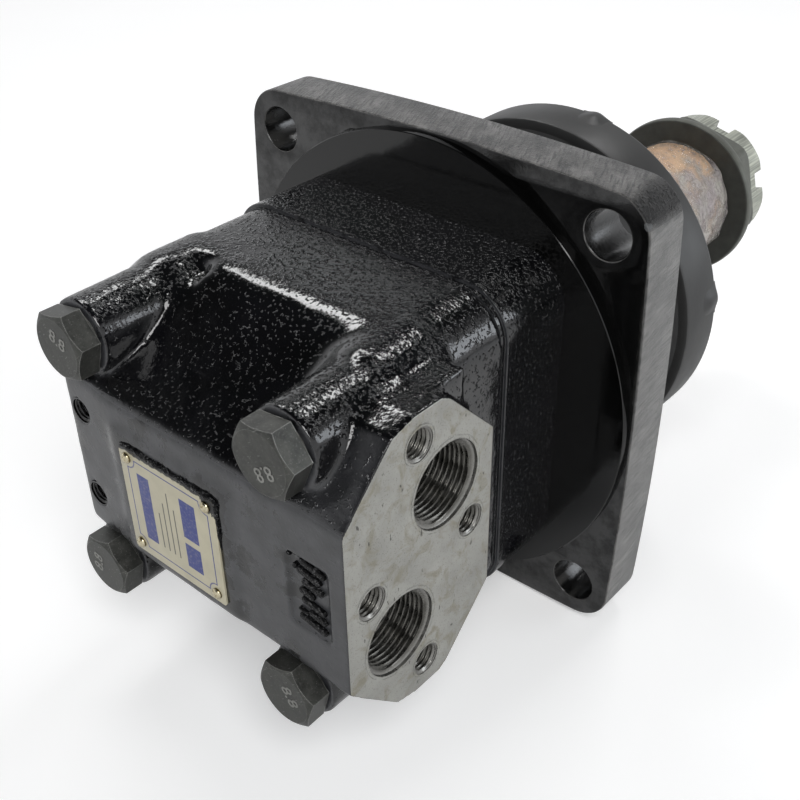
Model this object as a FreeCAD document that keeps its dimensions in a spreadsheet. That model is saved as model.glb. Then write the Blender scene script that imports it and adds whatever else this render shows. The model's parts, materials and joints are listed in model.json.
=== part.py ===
import FreeCAD, Part
import Sketcher
import math
import os
import re
from FreeCAD import Placement, Rotation, Vector

# Hydraulic wheel motor: an orbital gear set turns a tapered shaft on two tapered roller bearings.
# Millimetres. +Y is the shaft axis, pointing out of the shaft end; +X is the port side; +Z is up.
# The origin is on the shaft axis in the plane of the flange's rear face, which seats on the frame.

SIZES = {
    # square mounting flange with slightly bowed sides, its rear spigot and its bolt holes
    "flange_reach": 24.7,
    "flange_bow": 2.8,
    "flange_thickness": 20,
    "flange_corner_radius": 14,
    "flange_hole_inset": 13.79,
    "flange_hole_diameter": 16.5,
    "spigot_margin": 1.1,
    "spigot_height": 3.6,
    "spigot_groove_inset": 3,
    "spigot_groove_width": 1.6,
    "spigot_groove_depth": 0.8,
    # rounded square body behind the flange, and the joint between the two castings
    "body_wall": 10.8,
    "body_corner_radius": 16.5,
    "joint_depth": 35.5,
    "joint_gap_width": 2,
    "joint_gap_depth": 1.2,
    # neck and drum in front of the flange
    "neck_wall": 6.5,
    "neck_length": 48,
    "drum_wall": 2.75,
    "drum_length": 21.6,
    "drum_edge": 1.2,
    "nib_count": 5,
    "nib_angle": 9,
    "nib_width": 7,
    "nib_height": 2.2,
    "nib_length": 5,
    # bores of the front housing
    "rear_cavity_diameter": 95,
    "middle_bore_gap": 4.5,
    "front_shoulder_diameter": 102,
    "wear_plate_diameter": 98,
    "wear_plate_thickness": 7,
    "wear_plate_bore": 36,
    # rear casting
    "casting_rear_wall": 19,
    "rear_band_half_height": 30,
    "slope_start": 71,
    "slope_break": 82,
    "slope_break_half_height": 53,
    "left_wall_half_width": 54,
    "left_wall_inner": 29,
    "left_wall_step": 2,
    "rear_body_step": 0.6,
    "rear_corner_radius": 19,
    "column_step_radius": 15,
    "column_step_depth": 84,
    "column_start": 60,
    "column_front_radius": 13.5,
    "column_rear_radius": 12.7,
    "bolt_seat_depth": 114.2,
    "bolt_wall": 6.4325,
    "bolt_offset": 1.2,
    # port block and its threads (G 3/4 ports, M10 manifold holes, tapped at their core size)
    "port_face_offset": 70.5,
    "port_block_front": 54.4,
    "port_block_side_half_height": 30,
    "port_block_shoulder": 74.5,
    "port_block_shoulder_half_height": 50.5,
    "port_block_top_front": 78.5,
    "port_block_top_rear": 90,
    "port_block_half_height": 52.8,
    "port_block_rear_shoulder": 99,
    "port_block_rear_shoulder_half_height": 50.5,
    "port_core_diameter": 24.2,
    "port_mouth_diameter": 28.6,
    "port_mouth_depth": 2.2,
    "port_depth": 18,
    "port_front_depth": 76.2,
    "port_rear_depth": 96.9,
    "port_rise": 21.5,
    "port_drilling_diameter": 13,
    "manifold_core_diameter": 8.8,
    "manifold_mouth_diameter": 10.6,
    "manifold_mouth_depth": 0.9,
    "manifold_depth": 14,
    "manifold_reach_along": 11.7,
    "manifold_reach_up": 20.7,
    # small tapped holes in the left wall, name plate pad and cast pocket
    "tapped_hole_diameter": 6.8,
    "tapped_hole_depth": 14,
    "tapped_hole_offset": 46.5,
    "tapped_hole_spacing": 34,
    "pad_height": 1,
    "pad_right": 25,
    "pad_top": 21.5,
    "pocket_centre": 56,
    "pocket_width": 16,
    "pocket_height": 27,
    "pocket_depth": 1.4,
    # gear set: seven rollers round a six-lobed star
    "gear_set_diameter": 98,
    "gear_width": 22,
    "roller_circle_radius": 33,
    "gear_roller_radius": 6.5,
    "orbit_radius": 3.2,
    "star_bore_diameter": 30,
    "ring_bore_diameter": 67,
    "gear_clearance": 0.03,
    # channel plate, disc valve and balance plate
    "channel_plate_thickness": 12,
    "channel_plate_bore": 26,
    "feed_hole_circle": 60,
    "feed_hole_diameter": 5,
    "valve_chamber_diameter": 80,
    "valve_chamber_clearance": 0.5,
    "disc_valve_diameter": 72,
    "disc_valve_thickness": 12,
    "disc_valve_bore": 22,
    "disc_window_diameter": 5,
    "disc_notch_diameter": 7,
    "balance_plate_diameter": 76,
    "balance_plate_thickness": 8,
    "balance_hub_diameter": 44,
    "balance_hub_length": 7,
    "balance_bore": 26,
    "hub_bore_clearance": 3,
    "valve_seal_section": 2.4,
    "spring_circle": 60,
    "spring_diameter": 4.6,
    "spring_wire": 0.7,
    "spring_turns": 5,
    "spring_pocket_diameter": 5.6,
    "spring_pocket_depth": 8,
    # cardan shaft and valve drive
    "cardan_pivot": 12,
    "cardan_front_head_radius": 16,
    "cardan_front_head_half": 11,
    "cardan_shank_radius": 11,
    "cardan_rear_head_half": 5,
    "cardan_rear_head_radius": 14.9,
    "cardan_rear_head_depth": 41.5,
    "drive_front_head_depth": 52.5,
    "drive_head_half": 1.9,
    "drive_shank_radius": 7.2,
    "drive_rear_head_radius": 10.9,
    "drive_crown": 1.4,
    "cardan_crown": 0.9,
    "socket_clearance": 0.1,
    # output shaft
    "shaft_rear": -24,
    "shaft_socket_end": 27,
    "rear_seat_diameter": 60,
    "front_seat_diameter": 75,
    "lock_thread_diameter": 57,
    "shaft_collar_diameter": 80,
    "collar_front": 92,
    "taper_large_diameter": 60,
    "taper_end": 180,
    "taper_rate": 10,
    "shaft_thread_diameter": 42,
    "shaft_end": 209,
    "key_width": 16,
    "key_height": 10,
    "key_length": 32,
    "key_start": 112,
    "key_seat": 22,
    # bearings: 75 x 115 x 25 in front, 60 x 95 x 23 behind
    "front_bearing_outer": 115,
    "front_bearing_width": 25,
    "front_cup_width": 19,
    "front_bearing_face": 76,
    "front_bearing_roller_radius": 5.5,
    "front_bearing_roller_count": 22,
    "rear_bearing_outer": 95,
    "rear_bearing_width": 23,
    "rear_cup_width": 17.5,
    "rear_bearing_face": -14,
    "rear_bearing_roller_radius": 4.5,
    "rear_bearing_roller_count": 20,
    "bearing_angle": 13,
    "roller_share": 0.62,
    "race_clearance": 0.03,
    "cage_clearance": 0.2,
    "cage_thickness": 1.8,
    "lock_nut_diameter": 76,
    "lock_nut_width": 7,
    "lock_washer_thickness": 1.5,
    # seal carrier in the mouth of the drum
    "carrier_step": 10,
    "carrier_rear": 77,
    "carrier_lip_diameter": 90,
    "seal_pocket_diameter": 100,
    "seal_pocket_rear": 79,
    "shaft_seal_width": 8,
    "dust_seal_width": 2.4,
    "carrier_screw_inset": 5,
    "carrier_screw_count": 6,
    "carrier_screw_diameter": 5,
    "carrier_screw_head_diameter": 8.5,
    "carrier_screw_head_height": 5,
    "carrier_screw_length": 14,
    "carrier_ring_section": 2,
    "joint_ring_gap": 2.5,
    "joint_ring_section": 2.4,
    # housing bolts, M14
    "bolt_diameter": 14,
    "bolt_clearance": 1,
    "bolt_head_width": 21,
    "bolt_head_height": 8.8,
    "bolt_washer_face_diameter": 19.6,
    "bolt_washer_face_height": 0.8,
    "bolt_thread_reach": 24,
    # drain port on the side away from the main ports, G 1/4
    "drain_core_diameter": 11.8,
    "drain_depth": 18,
    "drain_plug_head_diameter": 19,
    "drain_plug_head_height": 4.5,
    "drain_plug_reach": 10,
    "drain_plug_hex": 6,
    "drain_washer_thickness": 1.5,
    "drain_washer_diameter": 18,
    # slotted nut on the shaft end
    "nut_face": 184,
    "nut_collar_diameter": 74.4,
    "nut_collar_length": 6.4,
    "nut_across_flats": 60,
    "nut_length": 29,
    "nut_crown_diameter": 63.6,
    "nut_crown_length": 10,
    "nut_slot_width": 8.6,
    "nut_slot_depth": 6.4,
    # paper and film wrapped round the taper
    "wrap_start": 93.5,
    "wrap_gap": 0.3,
    "paper_thickness": 1.1,
    "film_thickness": 1.2,
    # name plate and its rivets
    "plate_width": 44,
    "plate_height": 41.5,
    "plate_thickness": 0.8,
    "plate_centre_x": -1.5,
    "plate_centre_z": -4,
    "rivet_inset": 3.6,
    "rivet_head_diameter": 3.4,
    "rivet_head_height": 0.9,
    "rivet_shank_diameter": 1.8,
    "rivet_length": 5,
    # general running clearance between a bore and what turns in it
    "running_clearance": 0.05,
    # radial slack of a part that drops into a bore
    "fit_clearance": 0.03,
}

doc = FreeCAD.newDocument("wheel_motor")
sizes = doc.addObject("Spreadsheet::Sheet", "sizes")
for row, (alias, number) in enumerate(SIZES.items(), start=1):
    sizes.set(f"A{row}", alias)
    sizes.set(f"B{row}", str(number))
    sizes.setAlias(f"B{row}", alias)
doc.recompute()

NODES = []
UPRIGHT = Rotation(Vector(1, 0, 0), -90)
SIDEWAYS = Rotation(Vector(0, 1, 0), 90)

# Places along the shaft, and other sizes worked out from the sheet
BODY = "(gear_set_diameter + 2 * body_wall)"
REAR_BODY = f"({BODY} - 2 * rear_body_step)"
CORNER = f"({BODY} / 2 + flange_reach)"
SPIGOT = f"(2 * ({CORNER} + flange_bow - spigot_margin))"
NECK = "(front_bearing_outer + 2 * neck_wall)"
CARRIER = "(front_bearing_outer + 2 * carrier_step)"
DRUM = f"({CARRIER} + 2 * drum_wall)"
CARRIER_SCREW_CIRCLE = f"({CARRIER} - 2 * carrier_screw_inset)"
JOINT_RING = "(gear_set_diameter + 2 * joint_ring_gap)"
DRUM_REAR = "(flange_thickness + neck_length)"
DRUM_FRONT = f"({DRUM_REAR} + drum_length)"
JOINT = "(-joint_depth)"
GEAR_REAR = f"({JOINT} - gear_width)"
CHANNEL_REAR = f"({GEAR_REAR} - channel_plate_thickness)"
VALVE_REAR = f"({CHANNEL_REAR} - disc_valve_thickness)"
BALANCE_REAR = f"({VALVE_REAR} - balance_plate_thickness)"
VALVE_FLOOR = f"({BALANCE_REAR} - valve_chamber_clearance)"
HUB_REAR = f"({VALVE_FLOOR} - balance_hub_length)"
HUB_BORE_END = f"({HUB_REAR} - hub_bore_clearance)"
SPRING_END = f"({VALVE_FLOOR} - spring_pocket_depth)"
HOLE_REACH = f"({CORNER} - flange_hole_inset)"
BOLT_HOLE = "(bolt_diameter + bolt_clearance)"
BOLT_REACH = f"((gear_set_diameter / 2 + bolt_wall + {BOLT_HOLE} / 2) * cos(45))"
TAPER_END_RADIUS = "((taper_large_diameter - (taper_end - collar_front) / taper_rate) / 2)"
CASTING_DEPTH = f"(casting_rear_wall - {HUB_BORE_END})"
PAD_FACE = f"(-{CASTING_DEPTH} - pad_height)"


def bolt_x(side):
    """The bolt square sits a little towards the port face."""
    return f"(bolt_offset + {side} * {BOLT_REACH})"


def bound(text):
    """The expression with each size's name pointed at its cell."""
    return re.sub(r"[a-z][a-z_]*", lambda word: "sizes." + word[0] if word[0] in SIZES else word[0], text)


def number(alias):
    return float(getattr(sizes, alias))


def name_node(shape_object, label):
    shape_object.Label = label
    NODES.append(shape_object)
    return shape_object


def put(thing, x="0", y="0", z="0"):
    """Bind an object's place to the sheet."""
    for axis, text in (("x", x), ("y", y), ("z", z)):
        thing.setExpression(f"Placement.Base.{axis}", bound(text))
    return thing


def cylinder(name, diameter, start, length, x="0", z="0"):
    """A cylinder along +Y that starts at the place start."""
    thing = doc.addObject("Part::Cylinder", name)
    thing.Placement = Placement(Vector(), UPRIGHT)
    thing.setExpression("Radius", bound(f"({diameter}) / 2"))
    thing.setExpression("Height", bound(length))
    return put(thing, x, start, z)


def cone(name, start_diameter, end_diameter, start, length, x="0", z="0"):
    """A cone along +Y."""
    thing = doc.addObject("Part::Cone", name)
    thing.Placement = Placement(Vector(), UPRIGHT)
    thing.setExpression("Radius1", bound(f"({start_diameter}) / 2"))
    thing.setExpression("Radius2", bound(f"({end_diameter}) / 2"))
    thing.setExpression("Height", bound(length))
    return put(thing, x, start, z)


def side_cylinder(name, diameter, start, length, y, z):
    """A cylinder along +X that starts at the place start."""
    thing = doc.addObject("Part::Cylinder", name)
    thing.Placement = Placement(Vector(), SIDEWAYS)
    thing.setExpression("Radius", bound(f"({diameter}) / 2"))
    thing.setExpression("Height", bound(length))
    return put(thing, start, y, z)


def side_cone(name, start_diameter, end_diameter, start, length, y, z):
    """A cone along +X."""
    thing = doc.addObject("Part::Cone", name)
    thing.Placement = Placement(Vector(), SIDEWAYS)
    thing.setExpression("Radius1", bound(f"({start_diameter}) / 2"))
    thing.setExpression("Radius2", bound(f"({end_diameter}) / 2"))
    thing.setExpression("Height", bound(length))
    return put(thing, start, y, z)


def box(name, low, size):
    """A box from its low corner and its three lengths."""
    thing = doc.addObject("Part::Box", name)
    for side, text in zip(("Length", "Width", "Height"), size):
        thing.setExpression(side, bound(text))
    return put(thing, *low)


def hexagon(name, across_flats, start, length, x="0", z="0", turn=0):
    """A hexagonal prism along +Y, with a corner at the angle turn from +X towards +Z."""
    thing = doc.addObject("Part::Prism", name)
    thing.Polygon = 6
    thing.Placement = Placement(Vector(), Rotation(Vector(0, 1, 0), -turn).multiply(UPRIGHT))
    thing.setExpression("Circumradius", bound(f"({across_flats}) / 2 / cos(30)"))
    thing.setExpression("Height", bound(length))
    return put(thing, x, start, z)


def fuse(name, parts):
    thing = doc.addObject("Part::MultiFuse", name)
    thing.Shapes = parts
    return thing


def common(name, parts):
    thing = doc.addObject("Part::MultiCommon", name)
    thing.Shapes = parts
    return thing


def group(name, parts):
    thing = doc.addObject("Part::Compound", name)
    thing.Links = parts
    return thing


def cut(name, base, tools):
    thing = doc.addObject("Part::Cut", name)
    thing.Base = base
    thing.Tool = tools[0] if len(tools) == 1 else fuse(name + "_tools", tools)
    return thing


def sketch_on(body, role, name):
    plane = next(item for item in body.Origin.OriginFeatures if item.Role == role)
    sketch = body.newObject("Sketcher::SketchObject", name)
    sketch.AttachmentSupport = [(plane, "")]
    sketch.MapMode = "FlatFace"
    return sketch


def draw(sketch, corners):
    """A closed outline of straight lines whose corners are bound to the sheet."""
    count = len(corners)
    turn = 2 * math.pi / count
    rough = [Vector(math.cos(turn * k), math.sin(turn * k), 0) for k in range(count)]
    sketch.addGeometry([Part.LineSegment(rough[k], rough[(k + 1) % count]) for k in range(count)])
    rules = [Sketcher.Constraint("Coincident", k, 2, (k + 1) % count, 1) for k in range(count)]
    for k in range(count):
        rules.append(Sketcher.Constraint("DistanceX", -1, 1, k, 1, rough[k].x))
        rules.append(Sketcher.Constraint("DistanceY", -1, 1, k, 1, rough[k].y))
    sketch.addConstraint(rules)
    for k, (across, along) in enumerate(corners):
        sketch.setExpression(f"Constraints[{count + 2 * k}]", bound(across))
        sketch.setExpression(f"Constraints[{count + 2 * k + 1}]", bound(along))


def turned(name, corners):
    """A body turned about the shaft axis from (radius, place along the shaft) corners."""
    body = doc.addObject("PartDesign::Body", name + "_turned")
    sketch = sketch_on(body, "XY_Plane", name + "_profile")
    draw(sketch, corners)
    revolution = body.newObject("PartDesign::Revolution", name + "_revolution")
    revolution.Profile = sketch
    revolution.ReferenceAxis = (sketch, ["V_Axis"])
    revolution.Angle = 360
    return body


def padded(name, role, corners, length, x="0", y="0"):
    """A body padded from an outline on one of its origin planes."""
    body = doc.addObject("PartDesign::Body", name + "_padded")
    sketch = sketch_on(body, role, name + "_outline")
    draw(sketch, corners)
    pad = body.newObject("PartDesign::Pad", name + "_pad")
    pad.Profile = sketch
    pad.setExpression("Length", bound(length))
    return put(body, x, y)


def rounded_square(name, width, radius, start, length):
    """A square bar along +Y with rounded corners."""
    half = f"({width}) / 2"
    wide = box(name + "_wide", (f"-{half}", start, f"-{half} + {radius}"),
               (width, length, f"{width} - 2 * {radius}"))
    tall = box(name + "_tall", (f"-{half} + {radius}", start, f"-{half}"),
               (f"{width} - 2 * {radius}", length, width))
    reach = f"({half} - {radius})"
    rounds = [cylinder(f"{name}_round{k}", f"2 * {radius}", start, length, f"{sx} * {reach}", f"{sz} * {reach}")
              for k, (sx, sz) in enumerate(CORNERS)]
    return fuse(name, [wide, tall] + rounds)


CORNERS = ((1, 1), (-1, 1), (-1, -1), (1, -1))
# Turns of the bolt heads about their axes as seen in the photo, in degrees
BOLT_TURNS = (7, 12, 14, 15)


# Front housing

def flange_plate():
    """The flange: where four large cylinders meet, with its corners rounded."""
    bow_radius = f"(({CORNER})^2 + flange_bow^2) / (2 * flange_bow)"
    reach = f"({bow_radius} - {CORNER} - flange_bow)"
    sides = [cylinder(f"flange_bow{k}", f"2 * {bow_radius}", "0", "flange_thickness", f"{sx} * {reach}", f"{sz} * {reach}")
             for k, (sx, sz) in enumerate(((1, 0), (-1, 0), (0, 1), (0, -1)))]
    square = common("flange_square", sides)
    doc.recompute()
    plate = doc.addObject("Part::Fillet", "flange_plate")
    plate.Base = square
    radius = number("flange_corner_radius")
    upright = [index for index, edge in enumerate(square.Shape.Edges, start=1)
               if abs(edge.tangentAt(edge.FirstParameter).y) > 0.9]
    plate.Edges = [(index, radius, radius) for index in upright]
    return plate


def drum_nibs():
    nibs = []
    for k in range(int(number("nib_count"))):
        turn = number("nib_angle") + 360 / number("nib_count") * k
        nib = doc.addObject("Part::Cylinder", f"drum_nib{k}")
        nib.Placement = Placement(Vector(), UPRIGHT)
        nib.setExpression("Radius", bound("nib_width / 2"))
        nib.setExpression("Height", bound("nib_length"))
        reach = f"({DRUM} / 2 + nib_height - nib_width / 2)"
        nibs.append(put(nib, f"{reach} * cos({turn})", f"{DRUM_FRONT} - nib_length", f"{reach} * sin({turn})"))
    return nibs


def front_housing():
    drum = turned("drum", [
        ("0", "0"), (f"{NECK} / 2", "0"), (f"{NECK} / 2", DRUM_REAR),
        (f"{DRUM} / 2 - drum_edge", DRUM_REAR), (f"{DRUM} / 2", f"{DRUM_REAR} + drum_edge"),
        (f"{DRUM} / 2", f"{DRUM_FRONT} - drum_edge"), (f"{DRUM} / 2 - drum_edge", DRUM_FRONT),
        ("0", DRUM_FRONT)])
    spigot = cylinder("spigot", SPIGOT, "-spigot_height", "spigot_height + 1")
    neck = rounded_square("rear_neck", BODY, "body_corner_radius", f"{JOINT} + joint_gap_width",
                          "joint_depth - joint_gap_width + 1")
    step = rounded_square("rear_step", f"({BODY} - 2 * joint_gap_depth)",
                          "(body_corner_radius - joint_gap_depth)", JOINT, "joint_gap_width + 1")
    blank = fuse("front_housing_blank", [flange_plate(), drum, spigot, neck, step] + drum_nibs())
    bore = turned("front_housing_bore", [
        ("0", f"{JOINT} - 1"), ("wear_plate_diameter / 2", f"{JOINT} - 1"),
        ("wear_plate_diameter / 2", f"{JOINT} + wear_plate_thickness"),
        ("rear_cavity_diameter / 2", f"{JOINT} + wear_plate_thickness"),
        ("rear_cavity_diameter / 2", "rear_bearing_face + rear_bearing_width"),
        ("front_seat_diameter / 2 + middle_bore_gap", "rear_bearing_face + rear_bearing_width"),
        ("front_seat_diameter / 2 + middle_bore_gap", "front_bearing_face - front_bearing_width - 12"),
        ("front_shoulder_diameter / 2", "front_bearing_face - front_bearing_width - 6"),
        ("front_shoulder_diameter / 2", "front_bearing_face - front_bearing_width"),
        ("front_bearing_outer / 2", "front_bearing_face - front_bearing_width"),
        ("front_bearing_outer / 2", "carrier_rear"), (f"{CARRIER} / 2", "carrier_rear"),
        (f"{CARRIER} / 2", f"{DRUM_FRONT} + 1"), ("0", f"{DRUM_FRONT} + 1")])
    groove_edge = f"{SPIGOT} / 2 - spigot_groove_inset"
    groove = turned("spigot_groove", [
        (f"{groove_edge} - spigot_groove_width", "-spigot_height - 1"),
        (groove_edge, "-spigot_height - 1"),
        (groove_edge, "-spigot_height + spigot_groove_depth"),
        (f"{groove_edge} - spigot_groove_width", "-spigot_height + spigot_groove_depth")])
    seal_groove = turned("joint_ring_groove", [
        (f"{JOINT_RING} / 2 - joint_ring_section / 2", f"{JOINT} - 1"),
        (f"{JOINT_RING} / 2 + joint_ring_section / 2", f"{JOINT} - 1"),
        (f"{JOINT_RING} / 2 + joint_ring_section / 2", f"{JOINT} + joint_ring_section"),
        (f"{JOINT_RING} / 2 - joint_ring_section / 2", f"{JOINT} + joint_ring_section")])
    tools = [bore, groove, seal_groove]
    for k, (sx, sz) in enumerate(CORNERS):
        tools.append(cylinder(f"flange_hole{k}", "flange_hole_diameter", "-spigot_height - 1",
                              "flange_thickness + spigot_height + 2", f"{sx} * {HOLE_REACH}", f"{sz} * {HOLE_REACH}"))
        tools.append(cylinder(f"bolt_thread{k}", "bolt_diameter", f"{JOINT} - 1", "bolt_thread_reach + 1",
                              bolt_x(sx), f"{sz} * {BOLT_REACH}"))
    count = int(number("carrier_screw_count"))
    for k in range(count):
        turn = 360 / count * k
        tools.append(cylinder(f"carrier_thread{k}", "carrier_screw_diameter",
                              f"{DRUM_FRONT} - carrier_screw_head_height - carrier_screw_length",
                              "carrier_screw_length + carrier_screw_head_height + 1",
                              f"{CARRIER_SCREW_CIRCLE} / 2 * cos({turn})", f"{CARRIER_SCREW_CIRCLE} / 2 * sin({turn})"))
    tools.append(side_cylinder("drain_thread", "drain_core_diameter", f"-{BODY} / 2 - 1", "drain_depth + 1",
                               f"{JOINT} / 2", "0"))
    return name_node(cut("front_housing", blank, tools), "front_housing")


# Rear casting

def rivet_places():
    reach_x, reach_z = "(plate_width / 2 - rivet_inset)", "(plate_height / 2 - rivet_inset)"
    return [(f"plate_centre_x + {sx} * {reach_x}", f"plate_centre_z + {sz} * {reach_z}") for sx, sz in CORNERS]


def block_outline():
    """The port face, top half from front to rear, then the bottom half back again."""
    upper = [("port_block_front", "port_block_side_half_height"),
             ("port_block_shoulder", "port_block_shoulder_half_height"),
             ("port_block_top_front", "port_block_half_height"), ("port_block_top_rear", "port_block_half_height"),
             ("port_block_rear_shoulder", "port_block_rear_shoulder_half_height"),
             (CASTING_DEPTH, "rear_band_half_height")]
    return [(f"-{y}", z) for y, z in upper] + [(f"-{y}", f"-{z}") for y, z in reversed(upper)]


def slope_outline():
    """Side view of the casting's rear end, between the slopes above and below."""
    upper = [("-slope_start + 8", "slope_break_half_height"), ("-slope_break", "slope_break_half_height"),
             (f"-{CASTING_DEPTH}", "rear_band_half_height")]
    return upper + [(y, f"-{z}") for y, z in reversed(upper)]


def rear_casting_blank():
    half = f"{REAR_BODY} / 2"
    body = rounded_square("rear_body", REAR_BODY, "rear_corner_radius", "-slope_start",
                          "slope_start - joint_depth")
    wedge = padded("wedge", "YZ_Plane", [
        ("-slope_start + 8", half), ("-slope_start", half), ("-slope_break", "slope_break_half_height"),
        (f"-{CASTING_DEPTH}", "rear_band_half_height"), (f"-{CASTING_DEPTH}", "-rear_band_half_height"),
        ("-slope_break", "-slope_break_half_height"), ("-slope_start", f"-{half}"), ("-slope_start + 8", f"-{half}")],
        f"left_wall_inner + {half} - rear_corner_radius", "-left_wall_inner")
    band = padded("band", "YZ_Plane", slope_outline(), "left_wall_inner + port_face_offset - 4", "-left_wall_inner")
    wall_plan = padded("left_wall_plan", "XY_Plane", [
        ("-left_wall_inner + 6", "-slope_start"), ("-left_wall_inner", f"-{CASTING_DEPTH}"),
        ("-left_wall_half_width", f"-{CASTING_DEPTH} + left_wall_step"),
        (f"-{half}", f"-{CASTING_DEPTH} + left_wall_step + 6"), (f"-{half}", "-slope_start")],
        "2 * slope_break_half_height")
    put(wall_plan, z="-slope_break_half_height")
    wall_side = padded("left_wall_side", "YZ_Plane", slope_outline(), half, f"-{half}")
    wall = common("left_wall", [wall_plan, wall_side])
    block = padded("port_block", "YZ_Plane", block_outline(), f"port_face_offset - {half} + 10", f"{half} - 10")
    columns = []
    for k, (sx, sz) in enumerate(CORNERS):
        columns.append(cone(f"column{k}", "2 * column_rear_radius", "2 * column_front_radius", "-bolt_seat_depth",
                            "bolt_seat_depth - column_start", bolt_x(sx), f"{sz} * {BOLT_REACH}"))
        reach = f"({half} - column_step_radius)"
        columns.append(cylinder(f"column_step{k}", "2 * column_step_radius", "-column_step_depth",
                                "column_step_depth - column_start", f"{sx} * {reach}", f"{sz} * {reach}"))
    pad = box("plate_pad", ("-left_wall_inner", PAD_FACE, "-rear_band_half_height"),
              ("left_wall_inner + pad_right", "pad_height + 2", "rear_band_half_height + pad_top"))
    return fuse("rear_casting_blank", [body, wedge, band, wall, block, pad] + columns)


def port_tools():
    tools = []
    face = "port_face_offset"
    ports = (("front", "port_front_depth", "port_rise", "valve_chamber_diameter / 2 - 12"),
             ("rear", "port_rear_depth", "-port_rise", "balance_hub_diameter / 2 - 14"))
    for name, depth, rise, inner in ports:
        y = f"-{depth}"
        tools.append(side_cylinder(f"{name}_port_thread", "port_core_diameter", f"{face} - port_depth",
                                   "port_depth + 1", y, rise))
        tools.append(side_cone(f"{name}_port_mouth", "port_core_diameter", "port_mouth_diameter",
                               f"{face} - port_mouth_depth", "port_mouth_depth", y, rise))
        tools.append(side_cylinder(f"{name}_port_drilling", "port_drilling_diameter", inner,
                                   f"{face} - port_depth - ({inner}) + 1", y, rise))
        for k, sign in enumerate((1, -1)):
            hole_y = f"{y} - {sign} * manifold_reach_along"
            hole_z = f"{rise} + {sign} * manifold_reach_up"
            tools.append(side_cylinder(f"{name}_manifold_thread{k}", "manifold_core_diameter",
                                       f"{face} - manifold_depth", "manifold_depth + 1", hole_y, hole_z))
            tools.append(side_cone(f"{name}_manifold_mouth{k}", "manifold_core_diameter", "manifold_mouth_diameter",
                                   f"{face} - manifold_mouth_depth", "manifold_mouth_depth", hole_y, hole_z))
    return tools


def valve_housing():
    chamber = turned("valve_chamber", [
        ("0", f"{JOINT} + 1"), ("gear_set_diameter / 2 + fit_clearance", f"{JOINT} + 1"),
        ("gear_set_diameter / 2 + fit_clearance", CHANNEL_REAR), ("valve_chamber_diameter / 2", CHANNEL_REAR),
        ("valve_chamber_diameter / 2", VALVE_FLOOR),
        ("balance_hub_diameter / 2 + fit_clearance", VALVE_FLOOR),
        ("balance_hub_diameter / 2 + fit_clearance", HUB_BORE_END), ("0", HUB_BORE_END)])
    tools = [chamber] + port_tools()
    for k, (sx, sz) in enumerate(CORNERS):
        x, z = bolt_x(sx), f"{sz} * {BOLT_REACH}"
        tools.append(cylinder(f"bolt_hole{k}", BOLT_HOLE, "-bolt_seat_depth - 1", "bolt_seat_depth", x, z))
        tools.append(cylinder(f"spot_face{k}", "2 * column_rear_radius", "-bolt_seat_depth - 12", "12", x, z))
    for k, sign in enumerate((1, -1)):
        tools.append(cylinder(f"tapped_hole{k}", "tapped_hole_diameter", f"-{CASTING_DEPTH} - 1",
                              "tapped_hole_depth + 1", "-tapped_hole_offset", f"{sign} * tapped_hole_spacing / 2"))
    for k in range(4):
        turn = 90 * k
        tools.append(cylinder(f"spring_pocket{k}", "spring_pocket_diameter", SPRING_END, "spring_pocket_depth + 1",
                             
                              f"spring_circle / 2 * cos({turn})", f"spring_circle / 2 * sin({turn})"))
    for k, (x, z) in enumerate(rivet_places()):
        tools.append(cylinder(f"rivet_hole{k}", "rivet_shank_diameter", f"{PAD_FACE} - 1",
                              "rivet_length - plate_thickness + 2", x, z))
    tools.append(box("cast_pocket", ("pocket_centre - pocket_width / 2", f"-{CASTING_DEPTH} - 1", "-pocket_height / 2"),
                     ("pocket_width", "pocket_depth + 1", "pocket_height")))
    return name_node(cut("valve_housing", rear_casting_blank(), tools), "valve_housing")


# Gear set

def star_outline(width):
    """The path of the roller centres seen from the star, moved inwards by a roller's radius."""
    circle = number("roller_circle_radius")
    orbit = number("orbit_radius")
    inward = number("gear_roller_radius") + number("gear_clearance")
    lobes = 6
    points = []
    for k in range(32 * lobes):
        turn = 2 * math.pi * k / (32 * lobes)
        fast = (lobes + 1) * turn
        path = Vector(circle * math.cos(turn) - orbit * math.cos(fast), 0,
                      circle * math.sin(turn) - orbit * math.sin(fast))
        along = Vector(-circle * math.sin(turn) + (lobes + 1) * orbit * math.sin(fast), 0,
                       circle * math.cos(turn) - (lobes + 1) * orbit * math.cos(fast))
        along.normalize()
        points.append(path + Vector(-along.z, 0, along.x) * inward)
    curve = Part.BSplineCurve()
    curve.interpolate(points, PeriodicFlag=True)
    face = Part.Face(Part.Wire([curve.toShape()]))
    return face.extrude(Vector(0, width, 0))


def gear_star():
    """The star turns on the cardan shaft and orbits about the shaft axis; at rest it lies towards +X."""
    blank = doc.addObject("Part::Feature", "star_lobes")
    blank.Shape = star_outline(number("gear_width") - 2 * number("gear_clearance"))
    put(blank, "orbit_radius", f"{GEAR_REAR} + gear_clearance", "0")
    bore = cylinder("star_bore", "star_bore_diameter", f"{GEAR_REAR} - 1", "gear_width + 2", "orbit_radius")
    return name_node(cut("gear_star", blank, [bore]), "gear_star")


def roller_place(k):
    turn = 360 / 7 * k
    return f"roller_circle_radius * cos({turn})", f"roller_circle_radius * sin({turn})"


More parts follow.
